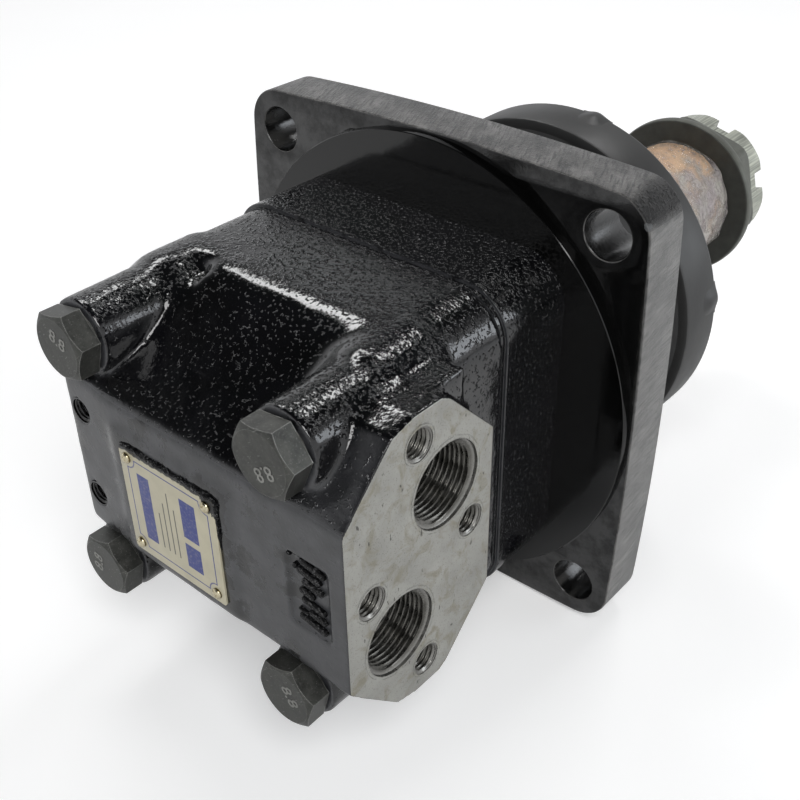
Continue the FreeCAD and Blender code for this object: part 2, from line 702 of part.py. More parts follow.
def gear_ring():
    blank = cylinder("ring_blank", "gear_set_diameter", GEAR_REAR, "gear_width")
    tools = [cylinder("ring_bore", "ring_bore_diameter", f"{GEAR_REAR} - 1", "gear_width + 2")]
    for k in range(7):
        x, z = roller_place(k)
        tools.append(cylinder(f"ring_pocket{k}", "2 * (gear_roller_radius + gear_clearance)", f"{GEAR_REAR} - 1",
                              "gear_width + 2", x, z))
    return name_node(cut("gear_ring", blank, tools), "gear_ring")


def gear_rollers():
    rollers = []
    for k in range(7):
        x, z = roller_place(k)
        rollers.append(cylinder(f"gear_roller{k}", "2 * gear_roller_radius", f"{GEAR_REAR} + gear_clearance",
                                "gear_width - 2 * gear_clearance", x, z))
    return name_node(group("gear_rollers", rollers), "gear_rollers")


def wear_plate():
    blank = cylinder("wear_blank", "wear_plate_diameter - 2 * fit_clearance", JOINT, "wear_plate_thickness")
    bore = cylinder("wear_bore", "wear_plate_bore", f"{JOINT} - 1", "wear_plate_thickness + 2")
    return name_node(cut("wear_plate", blank, [bore]), "wear_plate")


def channel_plate():
    blank = cylinder("channel_blank", "gear_set_diameter", CHANNEL_REAR, "channel_plate_thickness")
    tools = [cylinder("channel_bore", "channel_plate_bore", f"{CHANNEL_REAR} - 1", "channel_plate_thickness + 2")]
    for k in range(7):
        turn = 360 / 7 * (k + 0.5)
        tools.append(cylinder(f"feed_hole{k}", "feed_hole_diameter", f"{CHANNEL_REAR} - 1",
                              "channel_plate_thickness + 2", f"feed_hole_circle / 2 * cos({turn})",
                              f"feed_hole_circle / 2 * sin({turn})"))
    return name_node(cut("channel_plate", blank, tools), "channel_plate")


# Valve end

def disc_valve():
    blank = cylinder("disc_blank", "disc_valve_diameter", f"{VALVE_REAR} + running_clearance",
                     "disc_valve_thickness - 2 * running_clearance")
    tools = [cylinder("disc_bore", "disc_valve_bore", f"{VALVE_REAR} - 1", "disc_valve_thickness + 2")]
    for k in range(6):
        inner, outer = 60 * k, 60 * k + 30
        tools.append(cylinder(f"disc_window{k}", "disc_window_diameter", f"{VALVE_REAR} - 1",
                              "disc_valve_thickness + 2", f"feed_hole_circle / 2 * cos({inner})",
                              f"feed_hole_circle / 2 * sin({inner})"))
        tools.append(cylinder(f"disc_notch{k}", "disc_notch_diameter", f"{VALVE_REAR} + disc_valve_thickness / 2",
                              "disc_valve_thickness", f"disc_valve_diameter / 2 * cos({outer})",
                              f"disc_valve_diameter / 2 * sin({outer})"))
    return name_node(cut("disc_valve", blank, tools), "disc_valve")


def balance_plate():
    hub = "balance_hub_diameter / 2"
    seal = "valve_seal_section"
    plate = turned("balance_plate", [
        ("balance_bore / 2", VALVE_REAR), ("balance_plate_diameter / 2", VALVE_REAR),
        ("balance_plate_diameter / 2", BALANCE_REAR), (hub, BALANCE_REAR), (hub, f"{BALANCE_REAR} - 2"),
        (f"{hub} - {seal}", f"{BALANCE_REAR} - 2"), (f"{hub} - {seal}", f"{BALANCE_REAR} - 2 - {seal}"),
        (hub, f"{BALANCE_REAR} - 2 - {seal}"), (hub, HUB_REAR), ("balance_bore / 2", HUB_REAR)])
    return name_node(plate, "balance_plate")


def ring(name, diameter, section, y):
    """A round-section seal ring about the shaft axis; diameter is to the middle of its section."""
    thing = doc.addObject("Part::Torus", name)
    thing.Placement = Placement(Vector(), UPRIGHT)
    thing.setExpression("Radius1", bound(f"({diameter}) / 2"))
    thing.setExpression("Radius2", bound(f"({section}) / 2"))
    return name_node(put(thing, y=y), name)


def spring_shape(length):
    wire = number("spring_wire")
    middle = (number("spring_diameter") - wire) / 2
    pitch = (length - wire) / number("spring_turns")
    path = Part.makeHelix(pitch, length - wire, middle)
    section = Part.Wire([Part.makeCircle(wire / 2, Vector(middle, 0, 0), Vector(0, 1, 0))])
    return Part.Wire(path.Edges).makePipeShell([section], True, True)


def balance_springs():
    """Four coil springs that push the balance plate against the disc valve."""
    gap = number("spring_pocket_depth") + number("valve_chamber_clearance")
    coil = spring_shape(gap - 0.02)
    springs = []
    for k in range(4):
        spring = doc.addObject("Part::Feature", f"balance_spring{k}")
        spring.Shape = coil
        spring.Placement = Placement(Vector(), UPRIGHT)
        turn = 90 * k
        springs.append(put(spring, f"spring_circle / 2 * cos({turn})",
                           f"{SPRING_END} + spring_wire / 2 + 0.01", f"spring_circle / 2 * sin({turn})"))
    return name_node(group("balance_springs", springs), "balance_springs")


# Cardan shaft and valve drive: both lean over to follow the orbiting star

def tilted(body, base_y, lean):
    """Lean a turned body over towards +X about the point on the shaft axis at base_y."""
    body.setExpression("Placement.Rotation.Angle", bound(lean))
    return put(body, y=base_y)


def cardan_shaft():
    span = "(cardan_pivot + cardan_rear_head_depth)"
    front, half = "cardan_front_head_radius - socket_clearance", "cardan_front_head_half"
    rear, rear_half = "cardan_rear_head_radius", "cardan_rear_head_half"
    body = turned("cardan", [
        ("0", half), (f"{front} - cardan_crown", half), (front, "0"), (f"{front} - cardan_crown", f"-{half}"),
        ("cardan_shank_radius", f"-{half} - 4"), ("cardan_shank_radius", f"-{span} + {rear_half} + 3"),
        (f"{rear} - cardan_crown / 2", f"-{span} + {rear_half}"), (rear, f"-{span}"),
        (f"{rear} - cardan_crown / 2", f"-{span} - {rear_half}"), ("0", f"-{span} - {rear_half}")])
    body.Placement = Placement(Vector(), Rotation(Vector(0, 0, 1), 1))
    return name_node(tilted(body, "cardan_pivot", f"atan(orbit_radius / {span})"), "cardan_shaft")


def valve_drive():
    pivot = f"({VALVE_REAR} + disc_valve_thickness / 2)"
    span = f"(-drive_front_head_depth - {pivot})"
    half = "drive_head_half"
    front, rear = "cardan_rear_head_radius", "drive_rear_head_radius"
    body = turned("drive", [
        ("0", f"-{half}"), (f"{rear} - drive_crown", f"-{half}"), (rear, "0"), (f"{rear} - drive_crown", half),
        ("drive_shank_radius", f"{half} + 2"), ("drive_shank_radius", f"{span} - {half} - 3"),
        (f"{front} - drive_crown", f"{span} - {half}"), (front, span),
        (f"{front} - drive_crown", f"{span} + {half}"), ("0", f"{span} + {half}")])
    body.Placement = Placement(Vector(), Rotation(Vector(0, 0, -1), 1))
    return name_node(tilted(body, pivot, f"atan(orbit_radius / {span})"), "valve_drive")


# Output shaft and what turns with it

def key_box(name, grow):
    return box(name, (f"-key_width / 2 - ({grow})", f"key_start - ({grow})", f"-key_seat - key_height - ({grow})"),
               (f"key_width + 2 * ({grow})", f"key_length + 2 * ({grow})", f"key_height + ({grow})"))


def output_shaft():
    blank = turned("shaft", [
        ("cardan_front_head_radius", "shaft_rear"), ("lock_thread_diameter / 2", "shaft_rear"),
        ("lock_thread_diameter / 2", "rear_bearing_face - 1"), ("rear_seat_diameter / 2", "rear_bearing_face - 1"),
        ("rear_seat_diameter / 2", "rear_bearing_face + rear_bearing_width"),
        ("front_seat_diameter / 2", "rear_bearing_face + rear_bearing_width + 4"),
        ("front_seat_diameter / 2", "front_bearing_face"), ("shaft_collar_diameter / 2", "front_bearing_face"),
        ("shaft_collar_diameter / 2", "collar_front"), ("taper_large_diameter / 2", "collar_front"),
        (TAPER_END_RADIUS, "taper_end"), ("shaft_thread_diameter / 2", "taper_end"),
        ("shaft_thread_diameter / 2", "shaft_end - 2"), ("shaft_thread_diameter / 2 - 2", "shaft_end"),
        ("0", "shaft_end"), ("0", "shaft_socket_end"), ("cardan_front_head_radius", "shaft_socket_end")])
    return name_node(cut("output_shaft", blank, [key_box("keyway", "0")]), "output_shaft")


def shaft_key():
    return name_node(key_box("shaft_key", "0"), "shaft_key")


def slotted_nut():
    """A collared hexagon nut with six slots in its round crown."""
    collar = turned("nut_collar", [
        ("shaft_thread_diameter / 2", "nut_face"), ("nut_collar_diameter / 2 - 1", "nut_face"),
        ("nut_collar_diameter / 2", "nut_face + 1.5"), ("nut_collar_diameter / 2", "nut_face + nut_collar_length - 1.2"),
        ("nut_collar_diameter / 2 - 1.6", "nut_face + nut_collar_length + 0.6"),
        ("nut_across_flats / 2", "nut_face + nut_collar_length + 2.5"),
        ("shaft_thread_diameter / 2", "nut_face + nut_collar_length + 2.5")])
    hexagon_bar = hexagon("nut_hexagon", "nut_across_flats", "nut_face + 2", "nut_length - 2", turn=45)
    crown = "nut_face + nut_length - nut_crown_length"
    tip = turned("nut_tip", [
        ("shaft_thread_diameter / 2", "nut_face + 1"), ("nut_collar_diameter / 2", "nut_face + 1"),
        ("nut_collar_diameter / 2", f"{crown} - (nut_collar_diameter - nut_crown_diameter) / 2"),
        ("nut_crown_diameter / 2", crown), ("nut_crown_diameter / 2", "nut_face + nut_length - 1"),
        ("nut_crown_diameter / 2 - 1", "nut_face + nut_length"),
        ("shaft_thread_diameter / 2", "nut_face + nut_length")])
    nut = fuse("nut_blank", [collar, common("nut_body", [hexagon_bar, tip])])
    slots = []
    for k in range(3):
        slot = box(f"nut_slot{k}", ("0", "0", "0"), ("nut_collar_diameter", "nut_slot_depth + 1", "nut_slot_width"))
        turn = 15 + 60 * k
        slot.Placement = Placement(Vector(), Rotation(Vector(0, 1, 0), -turn))
        half = "nut_collar_diameter / 2"
        put(slot, f"-{half} * cos({turn}) + nut_slot_width / 2 * sin({turn})",
            "nut_face + nut_length - nut_slot_depth",
            f"-{half} * sin({turn}) - nut_slot_width / 2 * cos({turn})")
        slots.append(slot)
    return name_node(cut("slotted_nut", nut, slots), "slotted_nut")


def taper_radius(y):
    return f"(taper_large_diameter / 2 - ({y} - collar_front) / (2 * taper_rate))"


def taper_shell(name, offset, start, end):
    """A solid that stands offset mm off the taper, with a bulge over the key."""
    core = cone(name + "_core", f"2 * ({taper_radius(start)} + {offset})", f"2 * ({taper_radius(end)} + {offset})",
                start, f"{end} - ({start})")
    return fuse(name, [core, key_box(name + "_bulge", offset)])


def wrap_sleeve(name, inner, outer):
    """One layer of the wrapping, from inner to outer mm off the taper and the key."""
    end = "(nut_face - wrap_gap)"
    outside = taper_shell(name + "_outside", outer, "wrap_start", end)
    inside = taper_shell(name + "_inside", inner, "(wrap_start - 1)", "(nut_face + 1)")
    return name_node(cut(name, outside, [inside]), name)


# Bearings

def roller_frame(face, width, outer_alias, seat_alias, facing):
    """Middle of the roller row: its radius and place, from the bearing's own sizes."""
    radius = (number(outer_alias) + number(seat_alias)) / 4
    middle = number(face) - facing * number(width) / 2
    return radius, middle


def bearing(name, face, width, cup_width, outer, seat, roller_radius, count, facing):
    """A tapered roller bearing. facing is +1 where the wide ends of the rollers point to the shaft end."""
    lean = "(bearing_angle * 1 deg)"
    middle_radius = f"(({outer} + {seat}) / 4)"
    middle = f"({face} - {facing} * {width} / 2)"
    flare = f"atan({roller_radius} * sin({lean}) / {middle_radius})"
    back = f"({face} - {facing} * {width})"

    def race(side, y):
        """Radius of the raceway at the place y: side +1 is the cup's, -1 the cone's."""
        from_apex = f"(({y} - {middle}) * {facing} + {middle_radius} / tan({lean}))"
        return f"({from_apex} * tan({lean} + {side} * {flare}) + {side} * race_clearance / cos({lean}))"

    cup_end = f"({back} + {facing} * {cup_width})"
    cup = turned(name + "_cup", [
        (f"({outer}) / 2", back), (f"({outer}) / 2", cup_end), (race(1, cup_end), cup_end), (race(1, back), back)])
    name_node(cup, name + "_cup")
    rib = f"({middle} + {facing} * (roller_share * {width} / 2 + 1.1 * {roller_radius} * sin({lean}) + 0.1))"
    foot = f"({middle} - {facing} * (roller_share * {width} / 2 + 1))"
    lip = f"{roller_radius} * 0.45"
    inner_ring = turned(name + "_cone", [
        (f"({seat}) / 2", back), (f"{race(-1, foot)} + {lip} * 0.5", back), (f"{race(-1, foot)} + {lip} * 0.5", foot),
        (race(-1, foot), foot), (race(-1, rib), rib), (f"{race(-1, rib)} + {lip}", rib),
        (f"{race(-1, rib)} + {lip}", face), (f"({seat}) / 2", face)])
    name_node(inner_ring, name + "_cone")
    row = roller_row(name, face, width, outer, seat, roller_radius, count, facing)
    return name_node(row, name + "_rollers")


def roller_row(name, face, width, outer, seat, roller_radius, count, facing):
    row = doc.addObject("Part::Feature", name + "_rollers")
    row.Shape = roller_solids(face, width, outer, seat, roller_radius, count, facing, 0)
    return row


def roller_solids(face, width, outer, seat, roller_radius, count, facing, grow):
    """The rollers of one row, each grown all round by grow."""
    middle_radius, middle = roller_frame(face, width, outer, seat, facing)
    lean = math.radians(number("bearing_angle"))
    radius = number(roller_radius)
    apex = middle_radius / math.sin(lean)
    length = number("roller_share") * number(width) / math.cos(lean)
    slope = radius / apex
    small = (apex - length / 2 - grow) * slope + grow
    large = (apex + length / 2 + grow) * slope + grow
    solids = []
    for k in range(int(number(count))):
        roller = Part.makeCone(small, large, length + 2 * grow, Vector(0, 0, -length / 2 - grow))
        roller.Placement = Placement(Vector(middle_radius, middle, 0),
                                     Rotation(Vector(0, 0, 1), Vector(math.sin(lean), facing * math.cos(lean), 0)))
        roller.rotate(Vector(), Vector(0, 1, 0), 360 / number(count) * k)
        solids.append(roller)
    return Part.makeCompound(solids)


def cage(name, face, width, outer, seat, roller_radius, count, facing):
    """A thin conical cage between the rollers, with one pocket for each."""
    middle_radius = f"(({outer}) + ({seat})) / 4"
    middle = f"({face} - {facing} * {width} / 2)"
    reach = f"(roller_share * {width} / 2 + 2.2)"
    small, large = f"({middle} - {facing} * {reach})", f"({middle} + {facing} * {reach})"
    rise = f"({reach} * tan(bearing_angle))"
    half = "cage_thickness / 2"
    lift = "1"
    band = turned(name + "_band", [
        (f"{middle_radius} - {rise} - {half} + {lift}", small), (f"{middle_radius} - {rise} + {half} + {lift}", small),
        (f"{middle_radius} + {rise} + {half} + {lift}", large), (f"{middle_radius} + {rise} - {half} + {lift}", large)])
    pockets = doc.addObject("Part::Feature", name + "_pockets")
    pockets.Shape = roller_solids(face, width, outer, seat, roller_radius, count, facing, number("cage_clearance"))
    return name_node(cut(name, band, [pockets]), name)


def bearings():
    front = ("front_bearing_face", "front_bearing_width", "front_bearing_outer", "front_seat_diameter",
             "front_bearing_roller_radius", "front_bearing_roller_count", 1)
    rear = ("rear_bearing_face", "rear_bearing_width", "rear_bearing_outer", "rear_seat_diameter",
            "rear_bearing_roller_radius", "rear_bearing_roller_count", -1)
    for name, row, cup_width in (("front_bearing", front, "front_cup_width"), ("rear_bearing", rear, "rear_cup_width")):
        face, width, outer, seat, radius, count, facing = row
        bearing(name, face, width, cup_width, outer, seat, radius, count, facing)
        cage(name + "_cage", *row)


def lock_nut():
    start = "(rear_bearing_face - lock_washer_thickness - lock_nut_width)"
    blank = cylinder("lock_nut_blank", "lock_nut_diameter", start, "lock_nut_width")
    tools = [cylinder("lock_nut_thread", "lock_thread_diameter", f"{start} - 1", "lock_nut_width + 2")]
    for k in range(4):
        turn = 90 * k
        tools.append(cylinder(f"lock_nut_slot{k}", "6", f"{start} - 1", "lock_nut_width + 2",
                              f"lock_nut_diameter / 2 * cos({turn})", f"lock_nut_diameter / 2 * sin({turn})"))
    name_node(cut("bearing_lock_nut", blank, tools), "bearing_lock_nut")
    washer = cylinder("washer_blank", "lock_nut_diameter - 4", "rear_bearing_face - lock_washer_thickness",
                      "lock_washer_thickness")
    hole = cylinder("washer_hole", "rear_seat_diameter", "rear_bearing_face - lock_washer_thickness - 1",
                    "lock_washer_thickness + 2")
    return name_node(cut("bearing_lock_washer", washer, [hole]), "bearing_lock_washer")


# Seal carrier

def carrier_screw_place(k):
    turn = 360 / int(number("carrier_screw_count")) * k
    return f"{CARRIER_SCREW_CIRCLE} / 2 * cos({turn})", f"{CARRIER_SCREW_CIRCLE} / 2 * sin({turn})"


def seal_carrier():
    ring_y = "(carrier_rear + 3)"
    section = "carrier_ring_section"
    blank = turned("carrier", [
        ("carrier_lip_diameter / 2", "carrier_rear"), (f"{CARRIER} / 2 - fit_clearance", "carrier_rear"),
        (f"{CARRIER} / 2 - fit_clearance", f"{ring_y} - {section} / 2"),
        (f"{CARRIER} / 2 - {section}", f"{ring_y} - {section} / 2"),
        (f"{CARRIER} / 2 - {section}", f"{ring_y} + {section} / 2"),
        (f"{CARRIER} / 2 - fit_clearance", f"{ring_y} + {section} / 2"),
        (f"{CARRIER} / 2 - fit_clearance", DRUM_FRONT), ("seal_pocket_diameter / 2", DRUM_FRONT),
        ("seal_pocket_diameter / 2", "seal_pocket_rear"), ("carrier_lip_diameter / 2", "seal_pocket_rear")])
    tools = []
    for k in range(int(number("carrier_screw_count"))):
        x, z = carrier_screw_place(k)
        tools.append(cylinder(f"carrier_hole{k}", "carrier_screw_diameter + 0.5", "carrier_rear - 1",
                              f"{DRUM_FRONT} - carrier_rear + 2", x, z))
        tools.append(cylinder(f"carrier_counterbore{k}", "carrier_screw_head_diameter + 0.6",
                              f"{DRUM_FRONT} - carrier_screw_head_height", "carrier_screw_head_height + 1", x, z))
    name_node(cut("seal_carrier", blank, tools), "seal_carrier")
    screws = []
    for k in range(int(number("carrier_screw_count"))):
        x, z = carrier_screw_place(k)
        head = cylinder(f"carrier_screw_head{k}", "carrier_screw_head_diameter",
                        f"{DRUM_FRONT} - carrier_screw_head_height", "carrier_screw_head_height - 0.4", x, z)
        shank = cylinder(f"carrier_screw_shank{k}", "carrier_screw_diameter",
                         f"{DRUM_FRONT} - carrier_screw_head_height - carrier_screw_length + 1",
                         "carrier_screw_length", x, z)
        socket = hexagon(f"carrier_screw_socket{k}", "4", f"{DRUM_FRONT} - 3", "4", x, z)
        screws.append(cut(f"carrier_screw{k}", fuse(f"carrier_screw_blank{k}", [head, shank]), [socket]))
    name_node(group("carrier_screws", screws), "carrier_screws")
    ring("carrier_o_ring", f"{CARRIER} - {section} - 0.04", f"{section} - 0.04", ring_y)


def lip_seal(name, start, width, lip):
    """A ring seal: a case in the carrier and a lip that runs on the shaft collar."""
    inner = "shaft_collar_diameter / 2 + running_clearance"
    outer = "seal_pocket_diameter / 2"
    body = turned(name, [
        (inner, f"{start} + {width} * {lip}"), (f"{inner} + 3", start), (outer, start), (outer, f"{start} + {width}"),
        (f"{inner} + 3", f"{start} + {width}")])
    return name_node(body, name)


# Fasteners, plugs and plate

def housing_bolts():
    """Four hexagon bolts, each stopped at its own turn when it was tightened."""
    bolts = []
    for k, ((sx, sz), turn) in enumerate(zip(CORNERS, BOLT_TURNS)):
        x, z = bolt_x(sx), f"{sz} * {BOLT_REACH}"
        start = "-bolt_seat_depth - bolt_head_height"
        head = hexagon(f"bolt_hexagon{k}", "bolt_head_width", start, "bolt_head_height - bolt_washer_face_height",
                       x, z, turn)
        washer_face = cylinder(f"bolt_washer_face{k}", "bolt_washer_face_diameter",
                               "-bolt_seat_depth - bolt_washer_face_height - 1", "bolt_washer_face_height + 1", x, z)
        chamfer = cone(f"bolt_chamfer{k}", "bolt_head_width * 0.94", "bolt_head_width * 0.94 + 2 * bolt_head_height / tan(30)",
                       start, "bolt_head_height", x, z)
        shank = cylinder(f"bolt_shank{k}", "bolt_diameter", "-bolt_seat_depth - 1",
                         "bolt_seat_depth + 1 - joint_depth + bolt_thread_reach - 1", x, z)
        bolts.append(fuse(f"housing_bolt{k}", [common(f"bolt_head{k}", [head, chamfer]), washer_face, shank]))
    return name_node(group("housing_bolts", bolts), "housing_bolts")


def drain_plug():
    y = f"{JOINT} / 2"
    outside = f"(-{BODY} / 2 - drain_washer_thickness)"
    head = side_cylinder("plug_head", "drain_plug_head_diameter", f"{outside} - drain_plug_head_height",
                         "drain_plug_head_height", y, "0")
    shank = side_cylinder("plug_shank", "drain_core_diameter", f"{outside} - 1",
                          "drain_plug_reach + drain_washer_thickness + 1", y, "0")
    socket = doc.addObject("Part::Prism", "plug_socket")
    socket.Polygon = 6
    socket.Placement = Placement(Vector(), SIDEWAYS)
    socket.setExpression("Circumradius", bound("drain_plug_hex / 2 / cos(30)"))
    socket.setExpression("Height", bound("drain_plug_head_height + 1"))
    put(socket, f"{outside} - drain_plug_head_height - 1", y, "0")
    name_node(cut("drain_plug", fuse("plug_blank", [head, shank]), [socket]), "drain_plug")
    washer = side_cylinder("drain_washer_blank", "drain_washer_diameter", outside, "drain_washer_thickness", y, "0")
    hole = side_cylinder("drain_washer_hole", "drain_core_diameter", f"{outside} - 1",
                         "drain_washer_thickness + 2", y, "0")
    return name_node(cut("drain_washer", washer, [hole]), "drain_washer")


def name_plate():
    blank = box("plate_blank", ("plate_centre_x - plate_width / 2", f"{PAD_FACE} - plate_thickness",
                                "plate_centre_z - plate_height / 2"), ("plate_width", "plate_thickness", "plate_height"))
    holes = [cylinder(f"plate_hole{k}", "rivet_shank_diameter", f"{PAD_FACE} - plate_thickness - 1",
                      "plate_thickness + 2", x, z) for k, (x, z) in enumerate(rivet_places())]
    return name_node(cut("name_plate", blank, holes), "name_plate")


def plate_rivets():
    rivets = []
    for k, (x, z) in enumerate(rivet_places()):
        face = f"({PAD_FACE} - plate_thickness)"
        head = cone(f"rivet_head{k}", "rivet_head_diameter * 0.6", "rivet_head_diameter",
                    f"{face} - rivet_head_height", "rivet_head_height", x, z)
        shank = cylinder(f"rivet_shank{k}", "rivet_shank_diameter", face, "rivet_length", x, z)
        rivets.append(fuse(f"plate_rivet{k}", [head, shank]))
    return name_node(group("plate_rivets", rivets), "plate_rivets")


front_housing()
valve_housing()
gear_star()
gear_ring()
gear_rollers()
wear_plate()
channel_plate()
disc_valve()
balance_plate()
ring("balance_seal", "balance_hub_diameter - valve_seal_section", "valve_seal_section - 0.04",
     f"{BALANCE_REAR} - 2 - valve_seal_section / 2")
balance_springs()
cardan_shaft()
valve_drive()
output_shaft()
shaft_key()
slotted_nut()
wrap_sleeve("wrap_paper", "wrap_gap", "wrap_gap + paper_thickness")
wrap_sleeve("wrap_film", "wrap_gap + paper_thickness + 0.1", "wrap_gap + paper_thickness + 0.1 + film_thickness")
bearings()
lock_nut()
seal_carrier()
lip_seal("shaft_seal", "seal_pocket_rear", "shaft_seal_width", "0.7")
lip_seal("dust_seal", "seal_pocket_rear + shaft_seal_width + 0.2", "dust_seal_width", "0.5")
ring("joint_o_ring", JOINT_RING, "joint_ring_section - 0.02", f"{JOINT} + joint_ring_section / 2")
housing_bolts()
drain_plug()
name_plate()
plate_rivets()

doc.recompute()

failed = [thing.Name for thing in doc.Objects if "Invalid" in thing.State or "Error" in thing.State]
if failed:
    raise RuntimeError(f"failed objects: {failed}")
for node in NODES:
    if node.Shape.isNull() or not node.Shape.isValid():
        raise RuntimeError(f"bad shape: {node.Label}")

os.makedirs("parts", exist_ok=True)
for node in NODES:
    node.Shape.exportStep(f"parts/{node.Label}.step")
    print(node.Label, len(node.Shape.Solids), round(node.Shape.Volume, 1))
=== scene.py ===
import json
from math import atan2, cos, degrees, hypot, pi, radians, sin, sqrt
import bmesh
import bpy
import numpy as np
from mathutils import Matrix, Vector, noise

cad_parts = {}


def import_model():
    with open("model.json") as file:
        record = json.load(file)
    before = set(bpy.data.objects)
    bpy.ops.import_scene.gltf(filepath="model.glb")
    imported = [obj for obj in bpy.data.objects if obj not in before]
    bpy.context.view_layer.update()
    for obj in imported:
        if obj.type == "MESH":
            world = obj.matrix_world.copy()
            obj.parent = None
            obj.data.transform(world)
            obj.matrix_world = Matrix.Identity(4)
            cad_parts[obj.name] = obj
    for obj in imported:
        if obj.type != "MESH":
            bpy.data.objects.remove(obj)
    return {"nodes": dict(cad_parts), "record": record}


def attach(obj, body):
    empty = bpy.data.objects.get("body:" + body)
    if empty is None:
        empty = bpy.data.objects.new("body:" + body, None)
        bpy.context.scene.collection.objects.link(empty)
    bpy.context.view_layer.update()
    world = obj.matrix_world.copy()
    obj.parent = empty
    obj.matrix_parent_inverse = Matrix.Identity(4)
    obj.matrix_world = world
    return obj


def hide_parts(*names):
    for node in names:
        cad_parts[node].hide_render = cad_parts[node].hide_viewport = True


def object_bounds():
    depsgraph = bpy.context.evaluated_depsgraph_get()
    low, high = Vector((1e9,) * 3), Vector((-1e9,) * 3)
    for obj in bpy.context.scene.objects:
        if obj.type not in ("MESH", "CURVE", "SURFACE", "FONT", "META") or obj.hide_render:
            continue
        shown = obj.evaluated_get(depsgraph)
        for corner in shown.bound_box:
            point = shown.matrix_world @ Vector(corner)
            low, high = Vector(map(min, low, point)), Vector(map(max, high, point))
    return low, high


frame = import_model()
cad_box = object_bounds()
NODES = frame["nodes"]
MM = 0.001

# Places and sizes shared with the solids, in millimetres
FLANGE_HALF = 84.5
FLANGE_BOW = 2.8
FLANGE_THICK = 20.0
FLANGE_ROUND = 14.0
HOLE_REACH = 70.71
HOLE_RADIUS = 8.25
SPIGOT_RADIUS = 86.2
SPIGOT_REAR = -3.6
JOINT = -35.5
NECK_HALF = 59.8
NECK_ROUND = 16.5
DRUM_REAR = 68.0
DRUM_FRONT = 89.6
DRUM_RADIUS = 70.25
CASTING_REAR = -119.0
SLOPE_START = -71.0
PORT_FACE = 70.5
BOLT_SEAT = -114.2
BOLT_FACE = -123.0
CORNERS = ((1, 1), (-1, 1), (-1, -1), (1, -1))
BOLT_CENTRES = [(1.2 + sx * 44.5, sz * 44.5) for sx, sz in CORNERS]
PORTS = ((-76.2, 21.5), (-96.9, -21.5))
MANIFOLD_REACH = (11.7, 20.7)
WALL_HOLES = ((-46.5, 17.0), (-46.5, -17.0))
PLATE_CENTRE = (-1.5, -4.0)
PLATE_SIZE = (44.0, 41.5)
RIVET_REACH = (PLATE_SIZE[0] / 2 - 3.6, PLATE_SIZE[1] / 2 - 3.6)
RIVET_PLACES = [(PLATE_CENTRE[0] + sx * RIVET_REACH[0], PLATE_CENTRE[1] + sz * RIVET_REACH[1])
                for sx, sz in CORNERS]
PAD_FACE = -120.0
TAPER_START = 92.0
TAPER_RADIUS = 30.0
NUT_FACE = 184.0


# Shader helpers

def grey(level):
    return (level, level, level)


